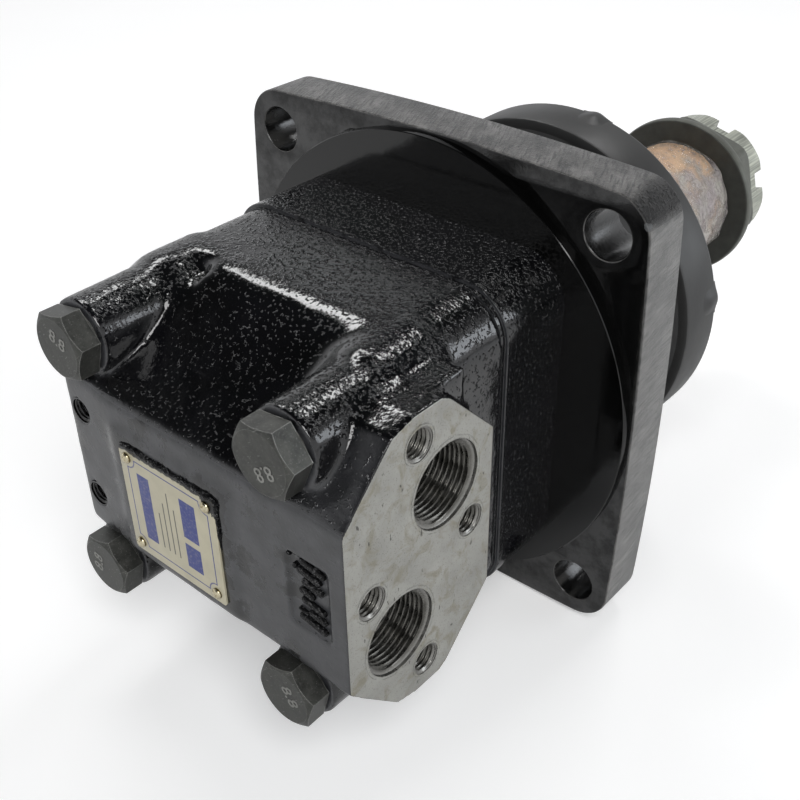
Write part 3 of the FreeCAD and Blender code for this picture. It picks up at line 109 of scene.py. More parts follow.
class Finish:
    """One material and short calls for the nodes that feed its shader."""

    def __init__(self, name, color, roughness, metallic=0.0, specular=0.5):
        self.material = bpy.data.materials.new(name)
        self.material.use_nodes = True
        self.tree = self.material.node_tree
        self.shader = self.tree.nodes["Principled BSDF"]
        self.set("Base Color", (*color, 1.0))
        self.set("Roughness", roughness)
        self.set("Metallic", metallic)
        self.set("Specular IOR Level", specular)
        self.place = self.node("ShaderNodeTexCoord").outputs["Object"]

    def set(self, socket, value):
        self.shader.inputs[socket].default_value = value

    def link(self, source, target):
        self.tree.links.new(source, target)

    def feed(self, socket, source):
        self.link(source, self.shader.inputs[socket])

    def color(self, source):
        self.feed("Base Color", source)

    def rough(self, source):
        self.feed("Roughness", source)

    def normal(self, source):
        self.feed("Normal", source)

    def node(self, kind, inputs=None, **settings):
        """A new node; an input is a value or the socket that feeds it."""
        made = self.tree.nodes.new(kind)
        for key, value in settings.items():
            setattr(made, key, value)
        for key, value in (inputs or {}).items():
            if isinstance(value, bpy.types.NodeSocket):
                self.link(value, made.inputs[key])
            else:
                made.inputs[key].default_value = value
        return made

    def math(self, operation, first, second=0.0, clamp=False):
        inputs = {0: first, 1: second}
        return self.node("ShaderNodeMath", inputs, operation=operation, use_clamp=clamp).outputs[0]

    def times(self, first, second):
        return self.math("MULTIPLY", first, second)

    def plus(self, first, second):
        return self.math("ADD", first, second)

    def most(self, first, second):
        return self.math("MAXIMUM", first, second)

    def axis(self, letter, source=None):
        return self.node("ShaderNodeSeparateXYZ", {0: source or self.place}).outputs[letter]

    def facing(self, letter):
        """The surface normal's share along one of the object's axes."""
        return self.axis(letter, self.node("ShaderNodeNewGeometry").outputs["Normal"])

    def mapping(self, source, **settings):
        return self.node("ShaderNodeMapping", {"Vector": source, **settings}).outputs[0]

    def texture(self, place, detail, rough, distortion):
        inputs = {"Vector": place, "Scale": 1.0, "Detail": detail, "Roughness": rough,
                  "Distortion": distortion}
        return self.node("ShaderNodeTexNoise", inputs).outputs["Fac"]

    def noise(self, size_mm, detail=3.0, rough=0.55, stretch=(1, 1, 1), distortion=0.0):
        """Noise with features about size_mm across."""
        scaled = self.mapping(self.place, Scale=[1 / (size_mm * MM * s) for s in stretch])
        return self.texture(scaled, detail, rough, distortion)

    def streaks(self, size_mm, length, turn=(0, 0, 0), detail=2.0):
        """Fine parallel marks: noise stretched along the turned X axis."""
        turned = self.mapping(self.place, Rotation=turn)
        scaled = self.mapping(turned, Scale=[1 / (size * MM) for size in (length, size_mm, size_mm)])
        return self.texture(scaled, detail, 0.5, 0.0)

    def ramp(self, value, low, high, start=0.0, end=1.0):
        inputs = {"Value": value, "From Min": low, "From Max": high, "To Min": start, "To Max": end}
        return self.node("ShaderNodeMapRange", inputs).outputs[0]

    def mix(self, factor, first, second):
        first, second = ((*c, 1.0) if isinstance(c, tuple) else c for c in (first, second))
        return self.node("ShaderNodeMix", {0: factor, 6: first, 7: second}, data_type="RGBA").outputs[2]

    def blend(self, factor, first, second):
        """A number that runs from first to second."""
        return self.node("ShaderNodeMix", {0: factor, 2: first, 3: second}, data_type="FLOAT").outputs[0]

    def bump(self, height, depth_mm, below=None, strength=1.0):
        inputs = {"Distance": depth_mm * MM, "Strength": strength, "Height": height}
        if below is not None:
            inputs["Normal"] = below
        return self.node("ShaderNodeBump", inputs).outputs["Normal"]

    def near(self, point, radius_mm, ragged=0.0, size_mm=2.0):
        """1 inside a ball about a place in millimetres, 0 outside, with a ragged edge."""
        inputs = {0: self.place, 1: [c * MM for c in point]}
        away = self.node("ShaderNodeVectorMath", inputs, operation="DISTANCE").outputs["Value"]
        if ragged:
            wave = self.math("SUBTRACT", self.noise(size_mm), 0.5)
            away = self.plus(away, self.times(wave, ragged * MM))
        return self.ramp(away, radius_mm * MM, radius_mm * 0.9 * MM)

    def inside(self, x0, x1, z0, z1, soft=0.12):
        """1 inside a rectangle across X and Z, in millimetres."""
        x, z = self.axis("X"), self.axis("Z")
        parts = [self.ramp(x, (x0 - soft) * MM, x0 * MM), self.ramp(x, (x1 + soft) * MM, x1 * MM),
                 self.ramp(z, (z0 - soft) * MM, z0 * MM), self.ramp(z, (z1 + soft) * MM, z1 * MM)]
        result = parts[0]
        for part in parts[1:]:
            result = self.times(result, part)
        return result


def edge_light(finish, radius_mm=0.6):
    """1 on sharp outside edges, where paint is thin or worn."""
    bevel = finish.node("ShaderNodeBevel", {"Radius": radius_mm * MM}, samples=4)
    geometry = finish.node("ShaderNodeNewGeometry")
    inputs = {0: bevel.outputs[0], 1: geometry.outputs["Normal"]}
    dot = finish.node("ShaderNodeVectorMath", inputs, operation="DOT_PRODUCT")
    return finish.ramp(dot.outputs["Value"], 0.98, 0.8)


# Mesh helpers

def new_object(name, data):
    thing = bpy.data.objects.new(name, data)
    bpy.context.scene.collection.objects.link(thing)
    return thing


def add_piece(name, mesh, material, body="housing", smooth_angle=35.0):
    piece = new_object(name, mesh)
    mesh.materials.clear()
    mesh.materials.append(material)
    mesh.shade_smooth()
    mesh.set_sharp_from_angle(angle=radians(smooth_angle))
    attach(piece, body)
    return piece


def mesh_from(name, points_mm, faces):
    mesh = bpy.data.meshes.new(name)
    mesh.from_pydata([(x * MM, y * MM, z * MM) for x, y, z in points_mm], [], faces)
    mesh.update()
    work = bmesh.new()
    work.from_mesh(mesh)
    bmesh.ops.recalc_face_normals(work, faces=work.faces)
    work.to_mesh(mesh)
    work.free()
    return mesh


def rings_to_mesh(name, rings, closed_rings=False, caps=True):
    """A skin over equal rings of points; the rings close on themselves when closed_rings is set."""
    count = len(rings[0])
    points = [p for ring in rings for p in ring]
    faces = []
    last = len(rings) if closed_rings else len(rings) - 1
    for k in range(last):
        a, b = k * count, (k + 1) % len(rings) * count
        faces += [(a + i, a + (i + 1) % count, b + (i + 1) % count, b + i) for i in range(count)]
    if caps and not closed_rings:
        faces += [tuple(range(count)), tuple(range(len(points) - count, len(points)))]
    return mesh_from(name, points, faces)


def lathe(name, profile, steps=180):
    """A closed (radius, y) profile turned about the shaft axis."""
    rings = []
    for k in range(steps):
        turn = 2 * pi * k / steps
        rings.append([(r * cos(turn), y, r * sin(turn)) for r, y in profile])
    return rings_to_mesh(name, rings, closed_rings=True)


def arc(cx, cz, radius, start, end, count):
    """Points of an arc in the X-Z plane; angles in degrees."""
    turns = [radians(start + (end - start) * k / (count - 1)) for k in range(count)]
    return [(cx + radius * cos(a), cz + radius * sin(a)) for a in turns]


def circle(radius, count):
    """Points of a full circle about (0, 0)."""
    turns = [2 * pi * k / count for k in range(count)]
    return [(radius * cos(turn), radius * sin(turn)) for turn in turns]


def turned(points, angle):
    """X-Z points turned about (0, 0); angle in degrees."""
    c, s = cos(radians(angle)), sin(radians(angle))
    return [(x * c - z * s, x * s + z * c) for x, z in points]


def four_times(points):
    """A quarter of an outline, and the same turned by 90, 180 and 270 degrees."""
    return [point for angle in (0, 90, 180, 270) for point in turned(points, angle)]


def rounded_rectangle(cx, cz, width, height, corner):
    reach_x, reach_z = width / 2 - corner, height / 2 - corner
    points = []
    for (sx, sz), start in zip(CORNERS, (0, 90, 180, 270)):
        points += arc(cx + sx * reach_x, cz + sz * reach_z, corner, start, start + 90, 6)
    return points


def rounded_square(half, radius):
    """Outline points of a rounded square, anticlockwise."""
    reach = half - radius
    side = [(half, -reach + 2 * reach * k / 24) for k in range(24)]
    return four_times(side + arc(reach, reach, radius, 0, 90, 16)[:-1])


def cut_plate(name, outline, holes, start, end, edge):
    """A flat plate from start to end along Y, with softened edges; outline and holes are X-Z points."""
    curve = bpy.data.curves.new(name, "CURVE")
    curve.dimensions = "2D"
    curve.fill_mode = "BOTH"
    curve.extrude = ((end - start) / 2 - edge) * MM
    curve.bevel_depth = edge * MM
    curve.bevel_resolution = 3
    curve.offset = -edge * MM
    for loop in [outline] + holes:
        line = curve.splines.new("POLY")
        line.points.add(len(loop) - 1)
        for point, (x, z) in zip(line.points, loop):
            point.co = (x * MM, z * MM, 0, 1)
        line.use_cyclic_u = True
    carrier = new_object(name, curve)
    mesh = evaluated_mesh(carrier)
    middle = (start + end) / 2 * MM
    mesh.transform(Matrix(((1, 0, 0, 0), (0, 0, -1, middle), (0, 1, 0, 0), (0, 0, 0, 1))))
    bpy.data.objects.remove(carrier)
    bpy.data.curves.remove(curve)
    merge_points(mesh, 0.002)
    return mesh


def cut_away(thing, tool):
    """Take a loose tool out of a loose object, and remove the tool."""
    step = thing.modifiers.new("cut", "BOOLEAN")
    step.object = tool
    step.operation = "DIFFERENCE"
    step.solver = "EXACT"
    mesh = evaluated_mesh(thing)
    thing.modifiers.clear()
    bpy.data.objects.remove(tool)
    return mesh


def merge_points(mesh, distance_mm):
    work = bmesh.new()
    work.from_mesh(mesh)
    bmesh.ops.remove_doubles(work, verts=work.verts, dist=distance_mm * MM)
    work.to_mesh(mesh)
    work.free()


def evaluated_mesh(thing):
    bpy.context.view_layer.update()
    graph = bpy.context.evaluated_depsgraph_get()
    return bpy.data.meshes.new_from_object(thing.evaluated_get(graph))


def copy_solid(node):
    """A closed copy of a CAD node's mesh as a loose object."""
    mesh = NODES[node].data.copy()
    merge_points(mesh, 0.001)
    return new_object(node + "_copy", mesh)


def drill(thing, centre, axis, radius, length):
    """Take a round hole out of a loose object; centre is the middle of the drill."""
    work = bmesh.new()
    bmesh.ops.create_cone(work, cap_ends=True, segments=72, radius1=radius * MM, radius2=radius * MM,
                          depth=length * MM)
    mesh = bpy.data.meshes.new("drill")
    work.to_mesh(mesh)
    work.free()
    tool = new_object("drill", mesh)
    tool.matrix_world = (Matrix.Translation(Vector(centre) * MM)
                         @ Vector((0, 0, 1)).rotation_difference(Vector(axis)).to_matrix().to_4x4())
    thing.data = cut_away(thing, tool)


# Materials

def black_paint():
    """Thick gloss paint over a sand-cast surface: fine sharp grains, calmer on the slopes and sides. The
    faces turned to the rear get a duller grey that is partly thin paint and dust, partly a painted sheen.
    """
    f = Finish("black_cast_paint", (0.005, 0.005, 0.0055), 0.1, specular=0.7)
    rear_face = f.ramp(f.facing("Y"), -0.55, -0.95)
    slope = f.ramp(f.facing("Y"), -0.12, -0.32)
    side = f.ramp(f.math("ABSOLUTE", f.facing("X")), 0.7, 0.95)
    patch = f.ramp(f.noise(24.0, 3.0, 0.6), 0.34, 0.66)
    calm = f.blend(f.most(slope, side), 1.0, 0.35)
    coarse = f.times(f.blend(patch, 0.5, 1.2), calm)
    peel = f.bump(f.noise(5.5, 2.0, 0.5), 0.22, strength=coarse)
    peel = f.bump(f.noise(1.6, 2.0, 0.6), 0.16, peel, coarse)
    crowd = f.plus(f.noise(1.3, 1.0, 0.6), f.times(f.noise(16.0, 2.0), 0.14))
    grains = f.ramp(crowd, f.blend(calm, 0.77, 0.58), f.blend(calm, 0.82, 0.78))
    peel = f.bump(grains, 0.5, peel, f.blend(rear_face, 1.0, 0.12))
    f.normal(peel)
    paint = f.mix(patch, (0.0015, 0.0015, 0.0018), (0.004, 0.004, 0.005))
    cx, cz = PLATE_CENTRE
    plate = f.inside(cx - 22.5, cx + 23.0, cz - 21.0, cz + 22.0, 5.0)
    blotch = f.ramp(f.plus(f.noise(11.0, 5.0, 0.65), f.times(plate, 0.16)), 0.54, 0.62)
    blotch = f.times(blotch, f.ramp(f.axis("X"), 62 * MM, 50 * MM))
    # Rear-facing faces are coloured a lighter grey picked by their facing: partly thin satin paint and dust,
    # partly a painted reflection of the pale floor.
    rear_dust_and_painted_sheen = f.mix(f.ramp(f.noise(9.0, 5.0, 0.6), 0.35, 0.7), (0.024, 0.025, 0.027), (0.050, 0.051, 0.056))
    pits = f.ramp(f.noise(1.4, 2.0), 0.66, 0.75)
    rear_dust_and_painted_sheen = f.mix(f.most(pits, blotch), rear_dust_and_painted_sheen, (0.006, 0.006, 0.0065))
    f.color(f.mix(rear_face, paint, rear_dust_and_painted_sheen))
    dull = f.times(rear_face, f.math("SUBTRACT", 1.0, blotch))
    f.rough(f.blend(dull, f.blend(patch, 0.13, 0.08), 0.34))
    return f.material


def smooth_black():
    """Gloss black over a machined face, with faint turning marks."""
    f = Finish("black_gloss_paint", grey(0.002), 0.1, specular=0.45)
    f.color(f.mix(f.noise(12.0, 3.0), grey(0.0012), grey(0.0025)))
    f.normal(f.bump(f.noise(6.0, 2.0), 0.03))
    f.rough(f.ramp(f.noise(16.0, 4.0), 0.3, 0.8, 0.06, 0.16))
    rim = f.ramp(f.math("ABSOLUTE", f.facing("Y")), 0.3, 0.8, 0.08, 0.6)
    f.feed("Specular IOR Level", rim)
    return f.material


def flange_paint():
    """The flange: gloss black on its machined faces, thin paint over rough saw marks on its edges."""
    f = Finish("flange_paint", grey(0.006), 0.16, specular=0.4)
    flat = f.ramp(f.math("ABSOLUTE", f.facing("Y")), 0.85, 0.97)
    across = f.math("ABSOLUTE", f.facing("X"))
    upright = f.math("ABSOLUTE", f.facing("Z"))
    corner = f.ramp(f.math("MINIMUM", across, upright), 0.22, 0.5)
    level = f.ramp(upright, 0.6, 0.8)
    saws, broads = [], []
    for turn in ((radians(-9), 0, radians(90)), (0, 0, radians(65))):
        saws.append(f.streaks(0.8, 7.0, turn, 4.0))
        broads.append(f.streaks(3.0, 14.0, turn, 3.0))
    saw = f.blend(level, *saws)
    broad = f.blend(level, *broads)
    cloud = f.ramp(f.plus(f.noise(12.0, 5.0, 0.7), f.times(broad, 0.5)), 0.60, 0.95)
    edge = f.mix(cloud, (0.020, 0.019, 0.018), (0.15, 0.145, 0.138))
    edge = f.mix(f.ramp(saw, 0.50, 0.62, 0.0, 0.85), edge, grey(0.008))
    # Edges facing +X are mixed towards a lighter grey by their facing: painted light on the lit side of the
    # flange.
    bright = f.ramp(f.facing("X"), 0.85, 0.97)
    edge = f.mix(f.times(bright, 0.22), edge, (0.42, 0.42, 0.41))
    specks = f.ramp(f.noise(1.1, 4.0, 0.75), 0.60, 0.70, 0.0, 0.6)
    edge = f.mix(specks, edge, (0.25, 0.24, 0.23))
    thick = f.mix(f.ramp(f.noise(7.0, 5.0, 0.7), 0.4, 0.7), grey(0.004), (0.03, 0.029, 0.028))
    edge = f.mix(corner, edge, thick)
    face = f.mix(f.noise(20.0, 4.0), grey(0.0015), grey(0.0035))
    color = f.mix(flat, edge, face)
    chip = f.near((83.9, 0.3, 77.4), 1.5, 3.5, 1.6)
    nicks = f.ramp(f.noise(2.2, 5.0, 0.75), 0.48, 0.60, 0.0, 0.95)
    worn = f.times(edge_light(f, 0.6), nicks)
    color = f.mix(worn, color, (0.32, 0.31, 0.30))
    f.color(f.mix(chip, color, (0.075, 0.078, 0.08)))
    f.rough(f.blend(flat, f.blend(corner, 0.34, 0.16), 0.1))
    smear = f.ramp(f.noise(9.0, 5.0, 0.7), 0.40, 0.58, 0.55, 1.0)
    f.feed("Specular IOR Level", f.blend(flat, f.blend(corner, 0.55, 0.22), smear))
    rough = f.math("SUBTRACT", 1.0, flat)
    cut = f.bump(saw, 0.5, f.bump(broad, 0.6, strength=rough), rough)
    cut = f.bump(f.noise(1.1, 4.0, 0.75), 0.35, cut, rough)
    cut = f.bump(f.ramp(f.noise(1.3, 1.0), 0.52, 0.66), 0.45, cut, f.times(corner, rough))
    f.normal(f.bump(f.noise(4.0, 3.0), 0.03, cut))
    return f.material


def bore_paint():
    """Glossy, uneven paint inside the flange holes."""
    f = Finish("flange_bore_paint", grey(0.01), 0.2, specular=0.8)
    band = f.streaks(5.5, 60.0, (0, 0, radians(90)), 0.0)
    f.color(f.mix(f.ramp(band, 0.45, 0.62), grey(0.003), (0.05, 0.049, 0.047)))
    f.rough(f.ramp(f.noise(4.0, 3.0), 0.3, 0.7, 0.14, 0.3))
    f.normal(f.bump(f.noise(1.0, 3.0, 0.6), 0.07, f.bump(band, 1.2)))
    return f.material


def drum_paint():
    """Satin black over turned iron, thin along its edges."""
    f = Finish("drum_paint", grey(0.03), 0.4, specular=0.5)
    color = f.mix(f.ramp(f.noise(20.0, 4.0), 0.3, 0.75), grey(0.022), (0.034, 0.034, 0.0335))
    worn = f.times(edge_light(f, 0.5), f.ramp(f.noise(5.0, 4.0), 0.5, 0.65, 0.0, 0.5))
    f.color(f.mix(worn, color, (0.2, 0.2, 0.19)))
    f.rough(f.ramp(f.noise(12.0, 3.0), 0.3, 0.7, 0.38, 0.46))
    f.normal(f.bump(f.noise(1.6, 3.0), 0.03))
    return f.material


def relief_paint():
    """Wet-looking black over coarse grains, in the cast pocket and along the plate."""
    f = Finish("relief_paint", grey(0.003), 0.16, specular=0.2)
    f.color(f.mix(f.noise(3.0, 3.0), grey(0.002), (0.008, 0.008, 0.009)))
    f.rough(f.ramp(f.noise(2.0, 3.0), 0.3, 0.7, 0.1, 0.24))
    grains = f.noise(0.9, 1.0)
    f.feed("Specular IOR Level", f.ramp(grains, 0.56, 0.66, 0.12, 1.0))
    f.normal(f.bump(f.ramp(grains, 0.45, 0.7), 0.5, f.bump(f.noise(2.0, 2.0), 0.4)))
    return f.material


def bare_iron():
    """The milled port face: pale grey iron with stains, pits and scratches."""
    f = Finish("milled_iron", (0.3, 0.29, 0.27), 0.42, metallic=0.75)
    cloud = f.ramp(f.noise(14.0, 5.0, 0.6), 0.3, 0.72)
    color = f.mix(cloud, (0.31, 0.308, 0.285), (0.44, 0.436, 0.405))
    stain = f.ramp(f.noise(8.0, 5.0, 0.62, distortion=0.8), 0.50, 0.66, 0.0, 0.7)
    color = f.mix(stain, color, (0.25, 0.23, 0.165))
    specks = f.ramp(f.noise(0.8, 3.0, 0.6), 0.60, 0.72, 0.0, 0.4)
    color = f.mix(specks, color, (0.16, 0.155, 0.14))
    pits = f.ramp(f.noise(2.4, 3.0, 0.55, stretch=(1, 0.6, 1.5)), 0.68, 0.72, 0.0, 0.8)
    color = f.mix(pits, color, (0.055, 0.05, 0.045))
    scratch = f.ramp(f.streaks(0.4, 11.0, (radians(55), 0, 0), 1.0), 0.66, 0.71, 0.0, 0.55)
    color = f.mix(scratch, color, (0.11, 0.11, 0.10))
    worn = f.times(edge_light(f, 0.8), f.ramp(f.noise(3.0, 4.0), 0.4, 0.6))
    color = f.mix(worn, color, (0.05, 0.05, 0.048))
    f.color(color)
    f.rough(f.ramp(cloud, 0.0, 1.0, 0.38, 0.52))
    mill = f.bump(f.streaks(0.5, 25.0, (radians(28), 0, 0), 2.0), 0.012)
    f.normal(f.bump(pits, 0.06, mill))
    return f.material


def cut_thread():
    """Fresh-cut thread, coloured darker than the port face, partly for oil and partly as painted shade inside
    the hole, and lighter at the chamfered mouth.
    """
    f = Finish("cut_thread", (0.2, 0.19, 0.18), 0.3, metallic=0.9)
    # The two dark tones mixed in patches stand partly for oil and partly for painted shade inside the hole.
    oil = f.ramp(f.noise(5.0, 3.0), 0.35, 0.7)
    mouth = f.ramp(f.axis("X"), (PORT_FACE - 1.4) * MM, (PORT_FACE - 1.1) * MM)
    color = f.mix(oil, (0.09, 0.087, 0.078), (0.19, 0.185, 0.17))
    f.color(f.mix(mouth, color, (0.24, 0.235, 0.22)))
    f.rough(f.ramp(f.noise(2.0, 2.0), 0.3, 0.7, 0.2, 0.4))
    f.normal(f.bump(f.noise(0.5, 2.0), 0.01))
    return f.material


def oiled_bolt():
    """Dark heat-treated bolt steel with a film of oil."""
    f = Finish("oiled_bolt_steel", (0.08, 0.08, 0.075), 0.4, metallic=0.55)
    cloud = f.ramp(f.noise(4.0, 5.0, 0.65), 0.3, 0.75)
    color = f.mix(cloud, (0.035, 0.036, 0.033), (0.085, 0.086, 0.078))
    rub = f.ramp(f.noise(1.1, 4.0, 0.65), 0.56, 0.74, 0.0, 0.5)
    color = f.mix(rub, color, (0.15, 0.15, 0.14))
    scratch = f.ramp(f.streaks(0.5, 9.0, (radians(20), radians(40), 0), 1.0), 0.68, 0.74, 0.0, 0.5)
    color = f.mix(scratch, color, (0.22, 0.22, 0.21))
    worn = f.times(edge_light(f, 0.5), f.ramp(f.noise(2.5, 3.0), 0.35, 0.6, 0.25, 0.9))
    f.color(f.mix(worn, color, (0.40, 0.40, 0.38)))
    f.rough(f.ramp(cloud, 0.0, 1.0, 0.34, 0.5))
    f.normal(f.bump(f.noise(0.9, 4.0, 0.6), 0.03))
    return f.material


def nut_steel():
    """Dark nut with a bright, freshly cut slotted end; its rear-facing faces are painted darker and its sides
    lighter, as painted shade and painted light.
    """
    f = Finish("nut_steel", (0.07, 0.07, 0.06), 0.5, metallic=0.5)
    cloud = f.ramp(f.noise(5.0, 5.0, 0.6), 0.3, 0.75)
    # Rear-facing faces take the darker tone and the sides the lighter tone of the same steel: painted shade
    # and painted light.
    rim = f.ramp(f.facing("Y"), -0.9, -0.2)
    dark = f.mix(cloud, (0.040, 0.041, 0.036), (0.062, 0.064, 0.056))
    dark = f.mix(rim, dark, f.mix(cloud, (0.10, 0.104, 0.09), (0.15, 0.155, 0.135)))
    edge = f.plus(f.axis("Y"), f.times(f.noise(3.0, 3.0), 0.0012))
    crown = f.ramp(edge, (NUT_FACE + 18.4) * MM, (NUT_FACE + 19.2) * MM)
    turned = f.streaks(0.9, 26.0, (0, 0, radians(90)), 3.0)
    bright = f.mix(f.ramp(turned, 0.4, 0.62), (0.30, 0.31, 0.27), (0.62, 0.64, 0.55))
    f.color(f.mix(crown, dark, bright))
    f.feed("Metallic", f.blend(crown, 0.45, 0.9))
    f.rough(f.blend(crown, 0.5, 0.36))
    f.normal(f.bump(f.noise(0.8, 3.0), 0.03))
    return f.material


def ground_metal(name, color, roughness=0.25):
    """Ground or turned steel for the inner pieces, with fine round marks."""
    f = Finish(name, color, roughness, metallic=1.0)
    tint = f.ramp(f.noise(9.0, 4.0), 0.3, 0.75)
    darker = tuple(c * 0.72 for c in color)
    f.color(f.mix(tint, darker, color))
    f.rough(f.ramp(f.noise(3.0, 3.0), 0.3, 0.7, roughness * 0.8, roughness * 1.4))
    f.normal(f.bump(f.streaks(0.3, 12.0), 0.006))
    return f.material


def seal_rubber():
    f = Finish("seal_rubber", grey(0.02), 0.5)
    f.color(f.mix(f.noise(4.0, 3.0), grey(0.012), (0.035, 0.034, 0.033)))
    f.rough(f.ramp(f.noise(2.5, 3.0), 0.3, 0.7, 0.42, 0.62))
    f.normal(f.bump(f.noise(0.6, 3.0), 0.02))
    return f.material


def rivet_brass():
    """Brass rivet heads, darker towards their feet: partly tarnish, partly painted shade on the steep sides
    of the domes.
    """
    f = Finish("rivet_brass", (0.45, 0.36, 0.2), 0.24, metallic=1.0)
    # The lower, steeper part of each dome is coloured dark: partly tarnish, partly painted shade.
    foot_tarnish_and_painted_shade = f.ramp(f.plus(f.axis("Y"), f.times(f.noise(1.0, 3.0), 0.0006)),
                  (PAD_FACE - 1.15) * MM, (PAD_FACE - 0.75) * MM)
    color = f.mix(foot_tarnish_and_painted_shade, (0.62, 0.56, 0.40), (0.12, 0.09, 0.03))
    f.color(f.mix(f.ramp(f.noise(0.8, 3.0), 0.5, 0.75), color, (0.30, 0.23, 0.10)))
    f.rough(f.ramp(f.noise(0.6, 2.0), 0.3, 0.7, 0.18, 0.34))
    f.normal(f.bump(f.noise(0.5, 2.0), 0.03))
    return f.material


def printed_plate():
    """A cream printed plate: a thin blue frame, plain coloured bars and fine rules."""
    f = Finish("printed_plate", (0.5, 0.45, 0.32), 0.34, metallic=0.1)
    cx, cz = PLATE_CENTRE
    aged = f.ramp(f.noise(8.0, 5.0, 0.6), 0.3, 0.75)
    color = f.mix(aged, (0.46, 0.425, 0.31), (0.56, 0.52, 0.385))
    blue, dark = (0.035, 0.05, 0.22), (0.02, 0.02, 0.03)
    fields = []
    for inset in (3.2, 3.65):
        half_x, half_z = PLATE_SIZE[0] / 2 - inset, PLATE_SIZE[1] / 2 - inset
        field = f.inside(cx - half_x, cx + half_x, cz - half_z, cz + half_z)
        for x, z in RIVET_PLACES:
            field = f.math("SUBTRACT", field, f.near((x, PAD_FACE - 0.8, z), inset + 0.2), clamp=True)
        fields.append(field)
    ink = f.math("SUBTRACT", *fields, clamp=True)
    bars = [(-14.5, -9.0, -13.0, 13.0), (5.5, 12.5, -13.5, -4.0), (5.5, 12.5, -1.5, 13.5)]
    for x0, x1, z0, z1 in bars:
        ink = f.most(ink, f.inside(cx + x0, cx + x1, cz + z0, cz + z1))
    color = f.mix(f.times(ink, f.ramp(f.noise(1.0, 3.0), 0.25, 0.5, 0.75, 1.0)), color, blue)
    rules = None
    for x in (-6.2, -3.6, -1.0, 1.6):
        rule = f.inside(cx + x, cx + x + 0.45, cz - 12.5, cz + 12.0 - 2.0 * abs(x + 1.0))
        rules = rule if rules is None else f.most(rules, rule)
    color = f.mix(f.times(rules, 0.8), color, dark)
    top = f.ramp(f.axis("Z"), (cz + PLATE_SIZE[1] / 2 - 3.5) * MM, (cz + PLATE_SIZE[1] / 2 - 0.3) * MM)
    over = f.ramp(f.plus(top, f.noise(3.0, 4.0, 0.6)), 1.16, 1.26)
    corner = f.near((cx + PLATE_SIZE[0] / 2 - 1.6, PAD_FACE, cz + PLATE_SIZE[1] / 2 - 1.6), 4.6, 7.0, 2.2)
    color = f.mix(f.most(over, corner), color, (0.012, 0.012, 0.013))
    f.color(color)
    f.rough(f.ramp(aged, 0.0, 1.0, 0.28, 0.42))
    f.normal(f.bump(f.noise(2.5, 3.0), 0.02))
    return f.material


def oiled_paper():
    """Waxed orange-brown paper with dark oil stains, greyer in patches and towards the lower right, where the
    grey is a painted sheen.
    """
    f = Finish("oiled_paper", (0.5, 0.3, 0.16), 0.5)
    # Greyer towards the lower right by position: a painted sheen of the film lying over the paper.
    height = f.ramp(f.math("SUBTRACT", f.axis("Z"), f.axis("X")), -0.03, 0.022)
    patch = f.ramp(f.plus(f.noise(12.0, 4.0, 0.6), f.times(height, 0.42)), 0.55, 0.86)
    color = f.mix(patch, (0.36, 0.30, 0.25), (0.74, 0.49, 0.29))
    stain = f.ramp(f.noise(5.0, 4.0, 0.65), 0.56, 0.72, 0.0, 0.75)
    f.color(f.mix(stain, color, (0.21, 0.125, 0.075)))
    f.rough(f.ramp(patch, 0.0, 1.0, 0.32, 0.6))
    f.normal(f.bump(f.noise(4.0, 3.0), 0.15))
    return f.material


def clear_film():
    """Crumpled cling film: clear where it lies flat, clouded where it is doubled and along its pulls, and
    more clouded towards the lower right as a painted sheen.
    """
    f = Finish("crumpled_film", (0.72, 0.66, 0.68), 0.14, specular=0.9)
    pulls = f.streaks(1.3, 24.0, (0, radians(38), radians(35)), 3.0)
    # More clouded towards the lower right by position: a painted sheen.
    low = f.ramp(f.math("SUBTRACT", f.axis("Z"), f.axis("X")), 0.028, -0.012)
    milky_and_painted_sheen = f.ramp(f.plus(f.noise(10.0, 4.0, 0.6), f.times(low, 0.22)), 0.5, 0.8)
    pull = f.times(f.ramp(pulls, 0.55, 0.68), f.ramp(f.noise(14.0, 2.0), 0.4, 0.6))
    tint = f.mix(f.ramp(f.noise(8.0, 3.0), 0.42, 0.62), (0.52, 0.47, 0.47), (0.64, 0.61, 0.56))
    f.color(tint)
    f.feed("Alpha", f.most(f.ramp(pull, 0.0, 1.0, 0.12, 0.55), f.ramp(milky_and_painted_sheen, 0.0, 1.0, 0.08, 0.66)))
    f.rough(f.ramp(milky_and_painted_sheen, 0.0, 1.0, 0.06, 0.2))
    creased = f.bump(pulls, 1.2, f.bump(f.noise(5.0, 2.0), 1.4))
    f.normal(f.bump(f.ramp(f.noise(1.2, 2.0, 0.6), 0.5, 0.7), 0.35, creased))
    return f.material


BLACK_CAST = black_paint()
GLOSS_BLACK = smooth_black()
FLANGE_PAINT = flange_paint()
BORE_PAINT = bore_paint()
DRUM_PAINT = drum_paint()
RELIEF_PAINT = relief_paint()
BARE_IRON = bare_iron()
THREAD = cut_thread()
BOLT_STEEL = oiled_bolt()
MARK_STEEL = ground_metal("bolt_mark_steel", (0.33, 0.33, 0.31), 0.4)
NUT_STEEL = nut_steel()
GROUND_STEEL = ground_metal("ground_steel", (0.52, 0.52, 0.53), 0.22)
TURNED_STEEL = ground_metal("turned_steel", grey(0.46), 0.3)
PRESSED_STEEL = ground_metal("pressed_steel", (0.38, 0.36, 0.32), 0.38)
ALLOY = ground_metal("washer_alloy", grey(0.7), 0.35)
RUBBER = seal_rubber()
BRASS = rivet_brass()
PLATE_PRINT = printed_plate()
PAPER = oiled_paper()
FILM = clear_film()


# Front housing

